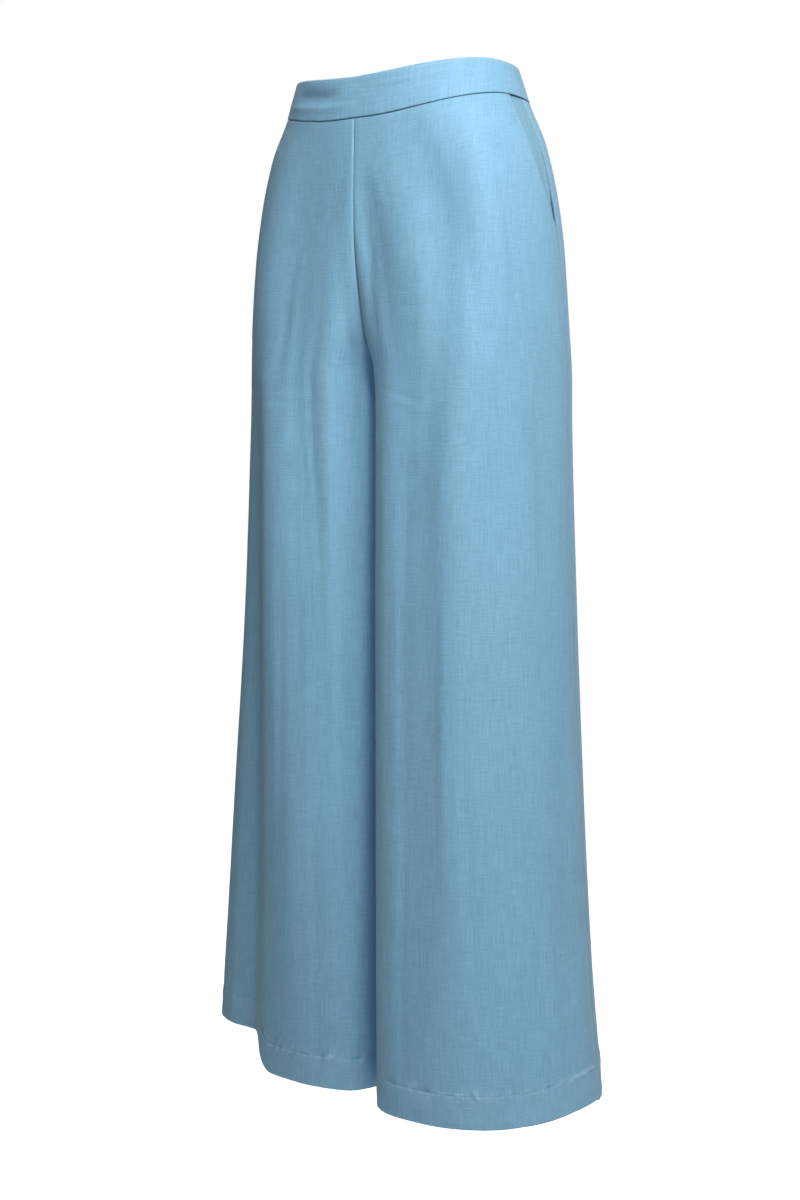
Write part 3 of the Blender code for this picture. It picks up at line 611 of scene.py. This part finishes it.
def hem_detail(cloth, along, t, seed):
    """Puckers at the hem's stitches: distance out, and their painted highlight and shade, t below
    the line.
    """
    s = along * cloth.whole
    inner = blend(0.0, 0.020, np.minimum(along - cloth.first, cloth.last - along) * cloth.whole)
    near = np.where(t < 0, np.exp(np.clip(t, -1, 0) / 0.010), np.exp(-np.clip(t, 0, 1) / 0.012))
    lean = s + 0.5 * t
    patch = blend(-0.45, 0.55, noise(s / 0.042, 0.0 * s, seed + 1))
    strength = (0.25 + 0.75 * patch) * inner
    ripple = noise(lean / 0.0052, t / 0.030 + 3.0, seed)
    ripple += 0.9 * noise(lean / 0.0115, t / 0.045, seed + 2)
    ripple = near * strength * ripple
    wave = 0.0011 * inner * noise(s / 0.027, t / 0.09, seed + 3) * np.exp(-np.abs(t - 0.018) / 0.03)
    groove = -0.00045 * bell(t, 0.0011)
    double = 0.00030 * blend(-0.002, 0.006, t)
    close = np.exp(-np.abs(t + 0.001) / 0.006)
    # Painted highlights on the puckers' ridges and painted shade in their hollows.
    painted_light_and_tone = close * (0.9 * np.clip(ripple, 0.0, 1.0) - 0.30 * np.clip(-ripple, 0.0, 1.0))
    raised = 0.0 * along
    for row in PUCKERS[cloth.panel]:
        offset = (s - row.along * cloth.whole - row.lean * t) / row.width
        reach = np.where(t < 0, row.up, row.down)
        raised += row.height * np.exp(-offset ** 2 - ((t + 0.0006) / reach) ** 2)
    # The listed puckers are raised and also get a painted highlight.
    return 0.0015 * ripple + wave + groove + double + 0.0012 * raised, painted_light_and_tone + 0.95 * raised


# Painted highlight and shade along the front rise seam: one edge lighter and the other darker, by
# the way light falls into the seam.
RISE_EDGE_PAINTED_LIGHT = {"left": -0.18, "right": 0.70}


def panel_detail(cloth, along, start, seed):
    """Distance out of a panel's fine form, and the painted highlight and shade at each place."""
    down = cloth.down + 0.0 * along
    s = along * cloth.whole
    to_side = (along - start) * cloth.whole
    to_middle = (cloth.last - along) * cloth.whole
    out = cloth.creases(along)
    out += 0.00016 * noise(s / 0.011 + 7, down / 0.11, seed)
    out += 0.00030 * noise(s / 0.030 + 3, down / 0.26, seed + 1)
    out += 0.00006 * noise(s / 0.005 + 3, down / 0.03, seed + 5)
    painted_light_and_tone = np.zeros(along.shape)
    at_rise = 1.0 - blend(CROTCH_DOWN - 0.06, CROTCH_DOWN, down)
    if cloth.face == "back":
        at_rise = 0.0 * at_rise
    # Painted shade along the inner leg and back seams. At the side: a painted highlight on the
    # pocket's slant edge, painted shade in the side seam below it, and painted shade on the back
    # panel beside the side seam near the top.
    rise_painted_light = at_rise * RISE_EDGE_PAINTED_LIGHT[cloth.side] - 0.40 * (1.0 - at_rise)
    side_painted_light = 0.45 - 0.80 * blend(POCKET_END_DOWN - 0.02, POCKET_END_DOWN, down)
    if cloth.face == "back":
        below = blend(POCKET_END_DOWN, POCKET_END_DOWN + 0.04, down)
        side_painted_light = (-0.70 + 0.40 * below) * blend(0.055, 0.095, down)
    away = 1.0 - blend(0.235, 0.280, down) + blend(0.330, 0.370, down)
    for edge, edge_painted_light, flat in ((to_side, side_painted_light, 1.0), (to_middle, rise_painted_light, away)):
        roll = curl(edge, 0.0022)
        out -= 0.0007 * roll * roll
        allowance = flat * blend(0.0015, 0.004, edge) * (1.0 - blend(0.009, 0.013, edge))
        out += 0.00016 * allowance
        pull = flat * np.exp(-edge / 0.006)
        out += 0.00022 * pull * noise(down / 0.007, edge / 0.02, seed + 4)
        width = 0.0008 + 0.0008 * blend(POCKET_END_DOWN, POCKET_END_DOWN + 0.05, down)
        # Painted highlight where the value is above 0 and painted shade where it is below, along
        # each edge.
        painted_light_and_tone += edge_painted_light * bell(edge, width)
    top = down - BAND_HEIGHT
    roll = curl(top, 0.0014)
    out -= 0.0011 * roll * roll
    # Painted shade in the waist seam, under the band.
    painted_light_and_tone -= 0.9 * bell(top, 0.0006)
    out += 0.00025 * np.exp(-top / 0.012) * noise(s / 0.010, top / 0.03, seed + 6)
    t = down - HEM_LINE
    hem, hem_painted_light = hem_detail(cloth, along, t, seed + 10)
    out += hem
    # The turned hem band gets a slight painted sheen.
    painted_light_and_tone = painted_light_and_tone + hem_painted_light + 0.12 * blend(-0.001, 0.002, t)
    return out, painted_light_and_tone


def shell_depth(down):
    """Thickness of a panel's shell: the turned hem is double."""
    return SHELL + (HEM_SHELL - SHELL) * blend(HEM_LINE - 0.003, HEM_LINE, down)


def place_on(cloth, along):
    """Places on the flat cloth, in metres from its straight grain and down."""
    settled = Cloth(cloth.side, cloth.face, [SETTLED_DOWN])
    grain = settled.last * settled.whole + 0.5 * (cloth.whole - settled.whole)
    grain = np.where(cloth.down < SETTLED_DOWN, cloth.last * cloth.whole, grain)
    return np.stack([along * cloth.whole - grain, cloth.down + 0.0 * along], axis=-1)


def panel_alongs(cloth, shares, start):
    """Places of the columns; only the inner ones move where the rise seam turns in."""
    settled = Cloth(cloth.side, cloth.face, [SETTLED_DOWN]).last[0, 0]
    settled = np.minimum(cloth.last, settled)
    return start + shares * (settled - start) + (cloth.last - settled) * shares ** 5


PANEL_ROUNDING = (0.1, 0.5, 0.12, 0.12)


def build_panel(side, face, columns, seed, material, thread):
    cloth = Cloth(side, face, panel_downs())
    start = cloth.first
    if face == "front":
        start = np.maximum(start, slant(cloth.down))
    along = panel_alongs(cloth, column_shares(columns)[None, :], start)
    out, painted_light_and_tone = panel_detail(cloth, along, start, seed)
    if face == "front":
        run = np.clip((cloth.down - BAND_HEIGHT) / (POCKET_END_DOWN - BAND_HEIGHT), 0.0, 1.0)
        edge = (along - start) * cloth.whole
        out += 0.0008 * np.sin(math.pi * run) ** 0.8 * np.exp(-edge / 0.012)
        bag = blend(0.0, 0.006, 0.272 - cloth.down - 0.10 * (along - 0.2) ** 2)
        bag = bag * (1.0 - blend(0.33, 0.37, along))
        out += 0.0004 * bag
    wall = cloth.wall(along, out, shell_depth(cloth.down))
    piece = shell(f"panel_{face}_{side}", *wall, place_on(cloth, along), painted_light_and_tone, PANEL_ROUNDING)
    dressed(piece, "trouser_cloth", material, f"{face}_{side}")
    stitches = build_hem_stitches(side, face, seed, thread)


def build_facing(side, material):
    """Side piece seen in the pocket's opening."""
    cloth = Cloth(side, "front", np.linspace(PANEL_TOP, POCKET_END_DOWN, 60))
    start, edge = cloth.first, np.maximum(cloth.first, slant(cloth.down))
    share = np.linspace(0.0, 1.0, 34)[None, :]
    along = start + (edge + 0.11 - start) * share
    s = along * cloth.whole
    out = 0.0004 * noise(s / 0.012, cloth.down / 0.05 + 0.0 * s, 71)
    away = (along - start) * cloth.whole
    under = np.maximum(blend(0.0, 0.010, away), blend(0.120, 0.145, cloth.down))
    out = out - 0.0014 * under - 0.0006 * curl(away, 0.0022) ** 2
    # Painted shade along the side seam and under the waistband seam.
    painted_light_and_tone = -0.75 * bell(away, 0.0008) * blend(0.055, 0.095, cloth.down)
    painted_light_and_tone -= 0.8 * bell(cloth.down - BAND_HEIGHT, 0.0006)
    wall = cloth.wall(along, out, FACING_SHELL)
    piece = shell(f"facing_{side}", *wall, place_on(cloth, along), painted_light_and_tone)
    dressed(piece, "facing_cloth", material, f"pocket_facing_{side}")


def build_bag(side, material):
    """Flat pocket bag hanging inside the front panel."""
    cloth = Cloth(side, "front", np.linspace(PANEL_TOP, BAG_END_DOWN, 80))
    share = np.linspace(0.0, 1.0, 40)[None, :]
    low = slant(cloth.down) + 0.04
    high = 0.34 - 0.16 * blend(0.19, BAG_END_DOWN, cloth.down) ** 2
    along = low + (high - low) * share
    wall = cloth.wall(along, 0.0 * along - BAG_DEPTH, BAG_SHELL)
    piece = shell(f"bag_{side}", *wall, place_on(cloth, along), 0.0 * along)
    dressed(piece, "pocket_lining", material, f"pocket_bag_{side}")


BAND_DOWNS = np.concatenate([
    np.array([0.0, 0.0004, 0.0010, 0.0018]),
    np.linspace(0.003, BAND_HEIGHT - 0.004, 26),
    BAND_HEIGHT - np.array([0.0028, 0.0018, 0.0011, 0.0005, 0.00015]),
])


def band_detail(cloth, along, seed):
    """Distance out of the waistband's fine form, and its painted highlight and shade."""
    down = cloth.down + 0.0 * along
    s = along * cloth.whole
    share = along / cloth.last
    out = 0.00035 * noise(s / 0.030, down / 0.018, seed)
    out += 0.00016 * noise(s / 0.010, down / 0.010, seed + 1)
    low = curl(BAND_HEIGHT - down, 0.0012)
    high = curl(down, 0.0020)
    out = out - 0.0008 * low * low - 0.0005 * high * high
    # Painted highlight along the folded top edge and painted shade in the seam at the bottom edge.
    painted_light_and_tone = 0.30 * bell(down, 0.0022)
    painted_light_and_tone -= 0.9 * bell(BAND_HEIGHT - down, 0.0004)
    if cloth.panel == "right_front":
        ridge = bell(down - 0.0235, 0.0030) * blend(0.40, 0.55, share)
        hollow = bell(down - 0.0150, 0.0058)
        hollow = hollow * blend(0.50, 0.68, share) * (1.0 - blend(0.80, 0.94, share))
        out = out + 0.0008 * ridge * (1.0 - 0.6 * blend(0.85, 1.0, share)) - 0.0022 * hollow
        # Painted shade in the upper part of the hollow, which faces down.
        dent_shade = bell(down - 0.0110, 0.0058)
        painted_light_and_tone -= 0.20 * dent_shade * blend(0.50, 0.70, share) * (1.0 - blend(0.80, 0.94, share))
    if cloth.panel == "left_front":
        ridge = bell(down - 0.010, 0.0022) * blend(0.25, 0.45, share)
        out += 0.00035 * ridge * (1.0 - blend(0.75, 0.95, share))
    return out + BAND_PROUD, painted_light_and_tone


def band_half(side, face, seed):
    """Width of half a waistband piece, and its grids."""
    cloth = Cloth(side, face, BAND_DOWNS)
    along = cloth.first + (cloth.last - cloth.first) * np.linspace(0.0, 1.0, 120)[None, :]
    out, painted_light_and_tone = band_detail(cloth, along, seed)
    across = (along - cloth.last) * cloth.whole * SIDES[side]
    uv = np.stack([across, cloth.down + 0.0 * along], axis=-1)
    return float(cloth.width.max()), (*cloth.wall(along, out, BAND_SHELL), uv, painted_light_and_tone)


def build_bands(material):
    """Front waistband across both sides, and two back halves parted by the zip."""
    left_width, left = band_half("left", "front", 31)
    right_width, right = band_half("right", "front", 37)
    joined = []
    for one, other in zip(left, right):
        middle = 0.5 * (one[:, -1:] + other[:, -1:])
        joined.append(np.concatenate([one[:, :-1], middle, other[:, -2::-1]], axis=1))
    piece = shell("band_front", *joined, rounding=(0.5, 0.1, 0.1, 0.1))
    dressed(piece, "waistband_cloth", material, "waistband_front")
    for side, seed in (("left", 41), ("right", 43)):
        width, parts = band_half(side, "back", seed)
        piece = shell(f"band_back_{side}", *parts, rounding=(0.5, 0.1, 0.1, 0.1))
        dressed(piece, "waistband_cloth", material, f"waistband_back_{side}")


STITCH = 0.0031


def build_hem_stitches(side, face, seed, material):
    """Row of sewn stitches round the hem of one panel."""
    cloth = Cloth(side, face, [HEM_LINE])
    length = float(cloth.width[0, 0])
    count = int(length / STITCH)
    centres = (np.arange(count) + 0.5) * length / count
    offsets = np.array([-0.5, -0.28, 0.0, 0.28, 0.5]) * 0.76 * STITCH
    s = (centres[:, None] + offsets[None, :]).reshape(1, -1)
    along = cloth.first + s / cloth.whole
    out, _ = panel_detail(cloth, along, cloth.first, seed)
    sink = np.tile(np.array([-0.00040, -0.00005, 0.00008, -0.00005, -0.00040]), count)[None, :]
    sink += 0.00022 * noise(s / 0.011, 0.0 * s, seed + 21)
    points = cloth.points(along, out + sink)
    above = cloth.points(along, out + sink + 0.001)
    normal = (above - points).reshape(count, 5, 3)
    radius = np.array([0.00012, 0.00024, 0.00027, 0.00024, 0.00012])
    piece = tubes(f"hem_stitches_{face}_{side}", points.reshape(count, 5, 3), normal, radius)
    return dressed(piece, "trouser_cloth", material)


ZIP_FROM, ZIP_TO = 0.024, 0.190
TAPE_WIDTH = 0.0125
TAPE_DEPTH = 0.0026
TAPE_SHELL = 0.0005
COIL_PITCH = 0.0013
COIL_DEPTH = 0.0034
COIL_RADIUS = 0.0004


def build_zip(tape_material, coil_material):
    """Tapes and coil of the hidden zip, inside the centre back seam."""
    for side in SIDES:
        cloth = Cloth(side, "back", np.linspace(ZIP_FROM, ZIP_TO, 70))
        edge = cloth.last - 0.0007 / cloth.whole
        along = edge - TAPE_WIDTH / cloth.whole * np.linspace(0.0, 1.0, 10)[None, ::-1]
        wall = cloth.wall(along, 0.0 * along - TAPE_DEPTH, TAPE_SHELL)
        tape = shell(f"zip_tape_{side}", *wall, place_on(cloth, along), 0.0 * along)
        dressed(tape, "pocket_lining", tape_material)
    cloth = Cloth("left", "back", np.arange(ZIP_FROM + 0.002, ZIP_TO - 0.004, COIL_PITCH))
    middle = cloth.points(cloth.last, 0.0 * cloth.last - COIL_DEPTH)[:, 0]
    inward = middle - cloth.points(cloth.last, 0.0 * cloth.last)[:, 0]
    inward[:, 0] = 0.0
    inward /= np.linalg.norm(inward, axis=1, keepdims=True)
    middle[:, 0] = 0.0
    across = np.array([-0.0022, -0.0012, 0.0, 0.0012, 0.0022])
    depth = np.array([0.0, 0.0006, 0.0008, 0.0006, 0.0])
    lines = middle[:, None, :] + depth[None, :, None] * inward[:, None, :]
    lines[:, :, 0] += across[None, :]
    normals = np.broadcast_to(inward[:, None, :], lines.shape)
    coil = tubes("zip_coil", lines, normals, np.full(5, COIL_RADIUS))
    dressed(coil, "pocket_lining", coil_material)


ALLOWANCE = 0.009
ALLOWANCE_DEPTH = 0.0026
ALLOWANCE_SHELL = 0.0006


def build_seam(name, edges, start, end, material):
    """Pressed open seam allowances inside one seam, as one strip with a groove."""
    halves = []
    for side, face, at_middle in edges:
        cloth = Cloth(side, face, np.linspace(start, end, 110))
        share = np.array([0.0, 0.05, 0.15, 0.4, 0.7, 1.0])[None, :] * ALLOWANCE / cloth.whole
        along = cloth.last - share if at_middle else cloth.first + share
        step = along - along[:, :1]
        ripple = noise(cloth.down / 0.03, step * 0.0, 77) * (step * cloth.whole / ALLOWANCE)
        out = -ALLOWANCE_DEPTH - 0.0005 * bell(step * cloth.whole, 0.0008) - 0.0004 * ripple ** 2
        halves.append((*cloth.wall(along, out, ALLOWANCE_SHELL), place_on(cloth, along)))
    joined = []
    for one, other in zip(*halves):
        middle = 0.5 * (one[:, :1] + other[:, :1])
        joined.append(np.concatenate([one[:, :0:-1], middle, other[:, 1:]], axis=1))
    painted_light_and_tone = np.zeros(joined[0].shape[:2])
    # Painted highlight along both edges of the seam strip.
    painted_light_and_tone[:, 0] = painted_light_and_tone[:, -1] = 0.5
    piece = shell(f"seam_{name}", *joined, painted_light_and_tone)
    return dressed(piece, "trouser_cloth", material)


def build_seams(material):
    """All the seams' insides, by the panel that they go with."""
    top, end = BAND_HEIGHT + 0.002, HEM_LINE + 0.012
    rise_end, leg_top = CROTCH_DOWN - 0.040, CROTCH_DOWN + 0.012
    found = {(side, face): [] for side in SIDES for face in ("front", "back")}
    for face, start in (("front", top), ("back", ZIP_TO)):
        edges = [(side, face, True) for side in SIDES]
        found["left", face].append(build_seam(f"{face}_rise", edges, start, rise_end, material))
    for side in SIDES:
        for name, at_middle, start in (("side", False, top), ("inner", True, leg_top)):
            edges = [(side, face, at_middle) for face in ("front", "back")]
            found[side, "front"].append(build_seam(f"{name}_{side}", edges, start, end, material))
    return found


# ---------------------------------------------------------------- materials
class Nodes:
    """Short way to lay nodes in a material."""

    def __init__(self, tree):
        self.tree = tree

    def add(self, kind, **settings):
        node = self.tree.nodes.new(kind)
        for key, value in settings.items():
            setattr(node, key, value)
        return node

    def feed(self, socket, value):
        if isinstance(value, bpy.types.NodeSocket):
            self.tree.links.new(value, socket)
        else:
            socket.default_value = value

    def fill(self, sockets, values):
        """Feeds sockets by name, each from a link or with a constant of its own."""
        for name, value in values.items():
            self.feed(sockets[name], value)

    def math(self, operation, *values):
        node = self.add("ShaderNodeMath", operation=operation)
        for socket, value in zip(node.inputs, values):
            self.feed(socket, value)
        return node.outputs[0]

    def scaled(self, vector, size, shift=(0.0, 0.0, 0.0)):
        node = self.add("ShaderNodeMapping")
        scale = (1.0 / size[0], 1.0 / size[1], 1.0)
        self.fill(node.inputs, {"Vector": vector, "Scale": scale, "Location": shift})
        return node.outputs[0]

    def noise(self, vector, detail):
        node = self.add("ShaderNodeTexNoise")
        self.fill(node.inputs, {"Vector": vector, "Scale": 1.0, "Detail": detail, "Roughness": 0.5})
        return node.outputs["Fac"]

    def mix(self, factor, one, other):
        node = self.add("ShaderNodeMix", data_type="RGBA")
        self.fill(node.inputs, {"Factor": factor, "A": one, "B": other})
        return node.outputs["Result"]

    def bump(self, height, strength, distance):
        node = self.add("ShaderNodeBump")
        self.fill(node.inputs, {"Height": height, "Strength": strength, "Distance": distance})
        return node.outputs["Normal"]


def new_material(name):
    """Empty material, a way to lay its nodes, and its shader's inputs."""
    material = bpy.data.materials.new(name)
    material.use_nodes = True
    tree = material.node_tree
    return material, Nodes(tree), tree.nodes["Principled BSDF"].inputs


def shade(colour, factor):
    return (*(channel * factor for channel in colour), 1.0)


THREADS = (
    # across  down    strength
    (0.0011, 0.026, 1.15),
    (0.0027, 0.110, 0.34),
    (0.0180, 0.0011, 0.90),
    (0.0600, 0.0025, 0.20),
    (0.0010, 0.0010, 1.15),
)


def woven(nodes, place, colour, slub):
    """Colour, tone and relief of uneven threads that cross each other."""
    tone, height = 0.5, 0.0
    for i, (across, down, strength) in enumerate(THREADS):
        threads = nodes.noise(nodes.scaled(place, (across, down), (3.1 * i, 5.3 - i, 0.0)), 3.0)
        share = nodes.math("MULTIPLY_ADD", threads, strength * slub, -0.5 * strength * slub)
        tone = nodes.math("ADD", share, tone)
        height = nodes.math("ADD", threads, height)
    cloud = nodes.noise(nodes.scaled(place, (0.05, 0.11), (0.3, 9.0, 0.0)), 3.0)
    tone = nodes.math("ADD", tone, nodes.math("MULTIPLY_ADD", cloud, 0.24, -0.12))
    dark = (0.76 * colour[0], 0.79 * colour[1], 0.79 * colour[2], 1.0)
    light = (1.24 * colour[0], 1.21 * colour[1], 1.21 * colour[2], 1.0)
    return nodes.mix(tone, dark, light), tone, height


def cloth_material(name, colour, slub=1.0, bump=0.35, sheen=0.25, thread=0.00075):
    """Plain weave with slubs both ways, uneven colour, painted highlights and painted shade at
    edges, seams and puckers, and a soft sheen.
    """
    material, nodes, sockets = new_material(name)
    place = nodes.add("ShaderNodeUVMap", uv_map="cloth").outputs["UV"]
    body, tone, height = woven(nodes, place, colour, slub)
    # Painted light: a point attribute lifts the colour towards pale blue as painted highlight and
    # sinks it towards dark blue as painted shade in seams, creases and hollows.
    painted_light_and_tone = nodes.add("ShaderNodeAttribute", attribute_name="painted_light_and_tone").outputs["Fac"]
    lift = nodes.math("MULTIPLY", painted_light_and_tone, 0.35)
    pale = tuple(0.72 * channel + 0.28 for channel in colour)
    final = nodes.mix(lift, body, shade(pale, 1.12))
    painted_shade = nodes.math("MULTIPLY", painted_light_and_tone, -1.0)
    final = nodes.mix(painted_shade, final, (0.0, 0.10 * colour[1], 0.20 * colour[2], 1.0))
    split = nodes.add("ShaderNodeSeparateXYZ")
    nodes.feed(split.inputs[0], place)
    pitch = math.pi / thread
    across = nodes.math("SINE", nodes.math("MULTIPLY", split.outputs[0], pitch))
    down = nodes.math("SINE", nodes.math("MULTIPLY", split.outputs[1], pitch))
    weave = nodes.math("MULTIPLY", across, down)
    height = nodes.math("MULTIPLY_ADD", weave, 0.15, height)
    nodes.fill(sockets, {
        "Base Color": final,
        "Normal": nodes.bump(height, bump, 0.0004),
        "Roughness": nodes.math("MULTIPLY_ADD", tone, -0.14, 0.70),
        "Specular IOR Level": 0.35,
        "Sheen Weight": sheen,
        "Sheen Roughness": 0.45,
        "Sheen Tint": (0.80, 0.92, 1.0, 1.0),
    })
    return material


def enamel_material(name, colour):
    """Light enamel on small metal parts, slightly uneven and rubbed."""
    material, nodes, sockets = new_material(name)
    place = nodes.add("ShaderNodeTexCoord").outputs["Object"]
    patch = nodes.noise(nodes.scaled(place, (0.002, 0.002)), 3.0)
    speck = nodes.noise(nodes.scaled(place, (0.0004, 0.0004)), 2.0)
    nodes.fill(sockets, {
        "Base Color": nodes.mix(patch, shade(colour, 0.8), shade(colour, 1.2)),
        "Roughness": nodes.math("MULTIPLY_ADD", patch, 0.25, 0.22),
        "Normal": nodes.bump(speck, 0.2, 0.0001),
        "Coat Weight": 0.4,
        "Coat Roughness": 0.15,
    })
    return material


# ---------------------------------------------------------------- stage
UPPER = (0.0, 0.0, 0.0)
MIDDLE = (0.0, 0.0, -0.40)
LIGHTS = (
    # name, place, target, size, power
    ("key", (1.632, -1.142, 1.221), MIDDLE, 1.2, 19.6),
    ("near", (1.064, -0.614, 0.860), UPPER, 0.9, 14.6),
    ("front", (1.140, -1.630, 0.700), UPPER, 1.0, 13.9),
    ("fill", (-0.681, -1.872, 1.221), MIDDLE, 1.2, 0.8),
    ("back", (-1.262, 1.802, 1.100), MIDDLE, 1.2, 26.0),
    ("back_side", (1.000, 1.730, 0.900), MIDDLE, 1.2, 5.0),
)
WORLD_LIGHT = 0.078
WORLD_SEEN = 1.0
FLOOR_DOWN = 1.30
FLOOR_REACH = 14.0


def area_light(name, place, target, size, power):
    lamp = bpy.data.lights.new(name, "AREA")
    lamp.shape = "RECTANGLE"
    lamp.size = lamp.size_y = size
    lamp.energy = power
    item = bpy.data.objects.new(name, lamp)
    item.location = place
    away = Vector(place) - Vector(target)
    item.rotation_euler = away.to_track_quat("Z", "Y").to_euler()
    bpy.context.scene.collection.objects.link(item)


def build_floor():
    """Pale floor, lit from within for the eye alone so that it stays near white."""
    side = np.array([-FLOOR_REACH, FLOOR_REACH])
    x, y = np.meshgrid(side, side)
    points = np.stack([x, y, np.full(x.shape, -FLOOR_DOWN)], axis=-1).reshape(-1, 3)
    quads = np.array([[0, 1, 3, 2]])
    uv = points[:, :2][quads]
    floor = mesh_object("floor", points, quads, uv, uv, np.zeros(len(points)))
    material, nodes, sockets = new_material("floor")
    path = nodes.add("ShaderNodeLightPath")
    nodes.fill(sockets, {
        "Base Color": (0.60, 0.60, 0.60, 1.0),
        "Roughness": 0.9,
        "Specular IOR Level": 0.1,
        "Emission Color": (1.0, 1.0, 1.0, 1.0),
        "Emission Strength": nodes.math("MULTIPLY", path.outputs["Is Camera Ray"], 0.97),
    })
    floor.data.materials.append(material)


def build_world(light, seen):
    """Even studio surround: one brightness to light by and one to be seen."""
    world = bpy.data.worlds.new("studio")
    world.use_nodes = True
    nodes = Nodes(world.node_tree)
    path = nodes.add("ShaderNodeLightPath")
    strength = nodes.math("MULTIPLY_ADD", path.outputs["Is Camera Ray"], seen - light, light)
    sockets = world.node_tree.nodes["Background"].inputs
    nodes.fill(sockets, {"Color": (1.0, 1.0, 1.0, 1.0), "Strength": strength})
    bpy.context.scene.world = world


CAMERA_TURN = math.radians(35.0)
CAMERA_TILT = math.radians(3.9)
CAMERA_AWAY = 1.925
CAMERA_HEIGHT = -0.4105
CAMERA_ASIDE = -0.0073
LENS, SENSOR = 55.0, 36.0


def build_camera():
    """Camera in front and to the wearer's left, a little above the middle."""
    data = bpy.data.cameras.new("camera")
    data.lens, data.sensor_width = LENS, SENSOR
    data.clip_start, data.clip_end = 0.05, 60.0
    camera = bpy.data.objects.new("camera", data)
    sideways = Vector((math.cos(CAMERA_TURN), math.sin(CAMERA_TURN), 0.0))
    towards = Vector((-math.sin(CAMERA_TURN), math.cos(CAMERA_TURN), 0.0))
    camera.location = sideways * CAMERA_ASIDE - towards * CAMERA_AWAY
    camera.location.z = CAMERA_HEIGHT
    camera.rotation_euler = (0.5 * math.pi - CAMERA_TILT, 0.0, CAMERA_TURN)
    bpy.context.scene.collection.objects.link(camera)
    bpy.context.scene.camera = camera


# ---------------------------------------------------------------- make
CLOTH_BLUE = (0.25, 0.51, 0.71)
cloth_blue = cloth_material("light_blue_cloth", CLOTH_BLUE)
inside_blue = cloth_material("seam_allowance", CLOTH_BLUE, slub=0.8)
band_blue = cloth_material("waistband_cloth", CLOTH_BLUE, slub=0.9)
# The pocket facing is the same cloth, given a darker copy of its colour as painted shade in the
# pocket's opening.
shaded_facing_blue = cloth_material("facing_cloth", (0.22, 0.44, 0.60))
lining_blue = cloth_material("pocket_lining", (0.36, 0.56, 0.70), slub=0.4, sheen=0.1, thread=0.0005)
thread_blue = cloth_material("sewing_thread", (0.40, 0.66, 0.84), slub=0.5, sheen=0.4, thread=0.0004)
tape_blue = cloth_material("zip_tape", (0.24, 0.46, 0.62), slub=0.3, sheen=0.1, thread=0.0004)
coil_blue = cloth_material("zip_coil", (0.26, 0.48, 0.64), slub=0.2, sheen=0.0, thread=0.0004)
pull_blue = enamel_material("zip_enamel", (0.24, 0.44, 0.60))

PANELS = (("left", "front", 190, 100), ("right", "front", 190, 200),
          ("left", "back", 160, 300), ("right", "back", 160, 400))
seams = build_seams(inside_blue)
for side, face, columns, seed in PANELS:
    build_panel(side, face, columns, seed, cloth_blue, thread_blue)
for side in SIDES:
    build_facing(side, shaded_facing_blue)
    build_bag(side, lining_blue)
build_bands(band_blue)
build_zip(tape_blue, coil_blue)
for name in ("zip_slider", "zip_pull"):
    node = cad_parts[name]
    node.data.materials.clear()
    node.data.materials.append(pull_blue)

build_floor()
build_world(WORLD_LIGHT, WORLD_SEEN)
for light in LIGHTS:
    area_light(*light)
build_camera()
bpy.context.scene.view_settings.view_transform = "Standard"
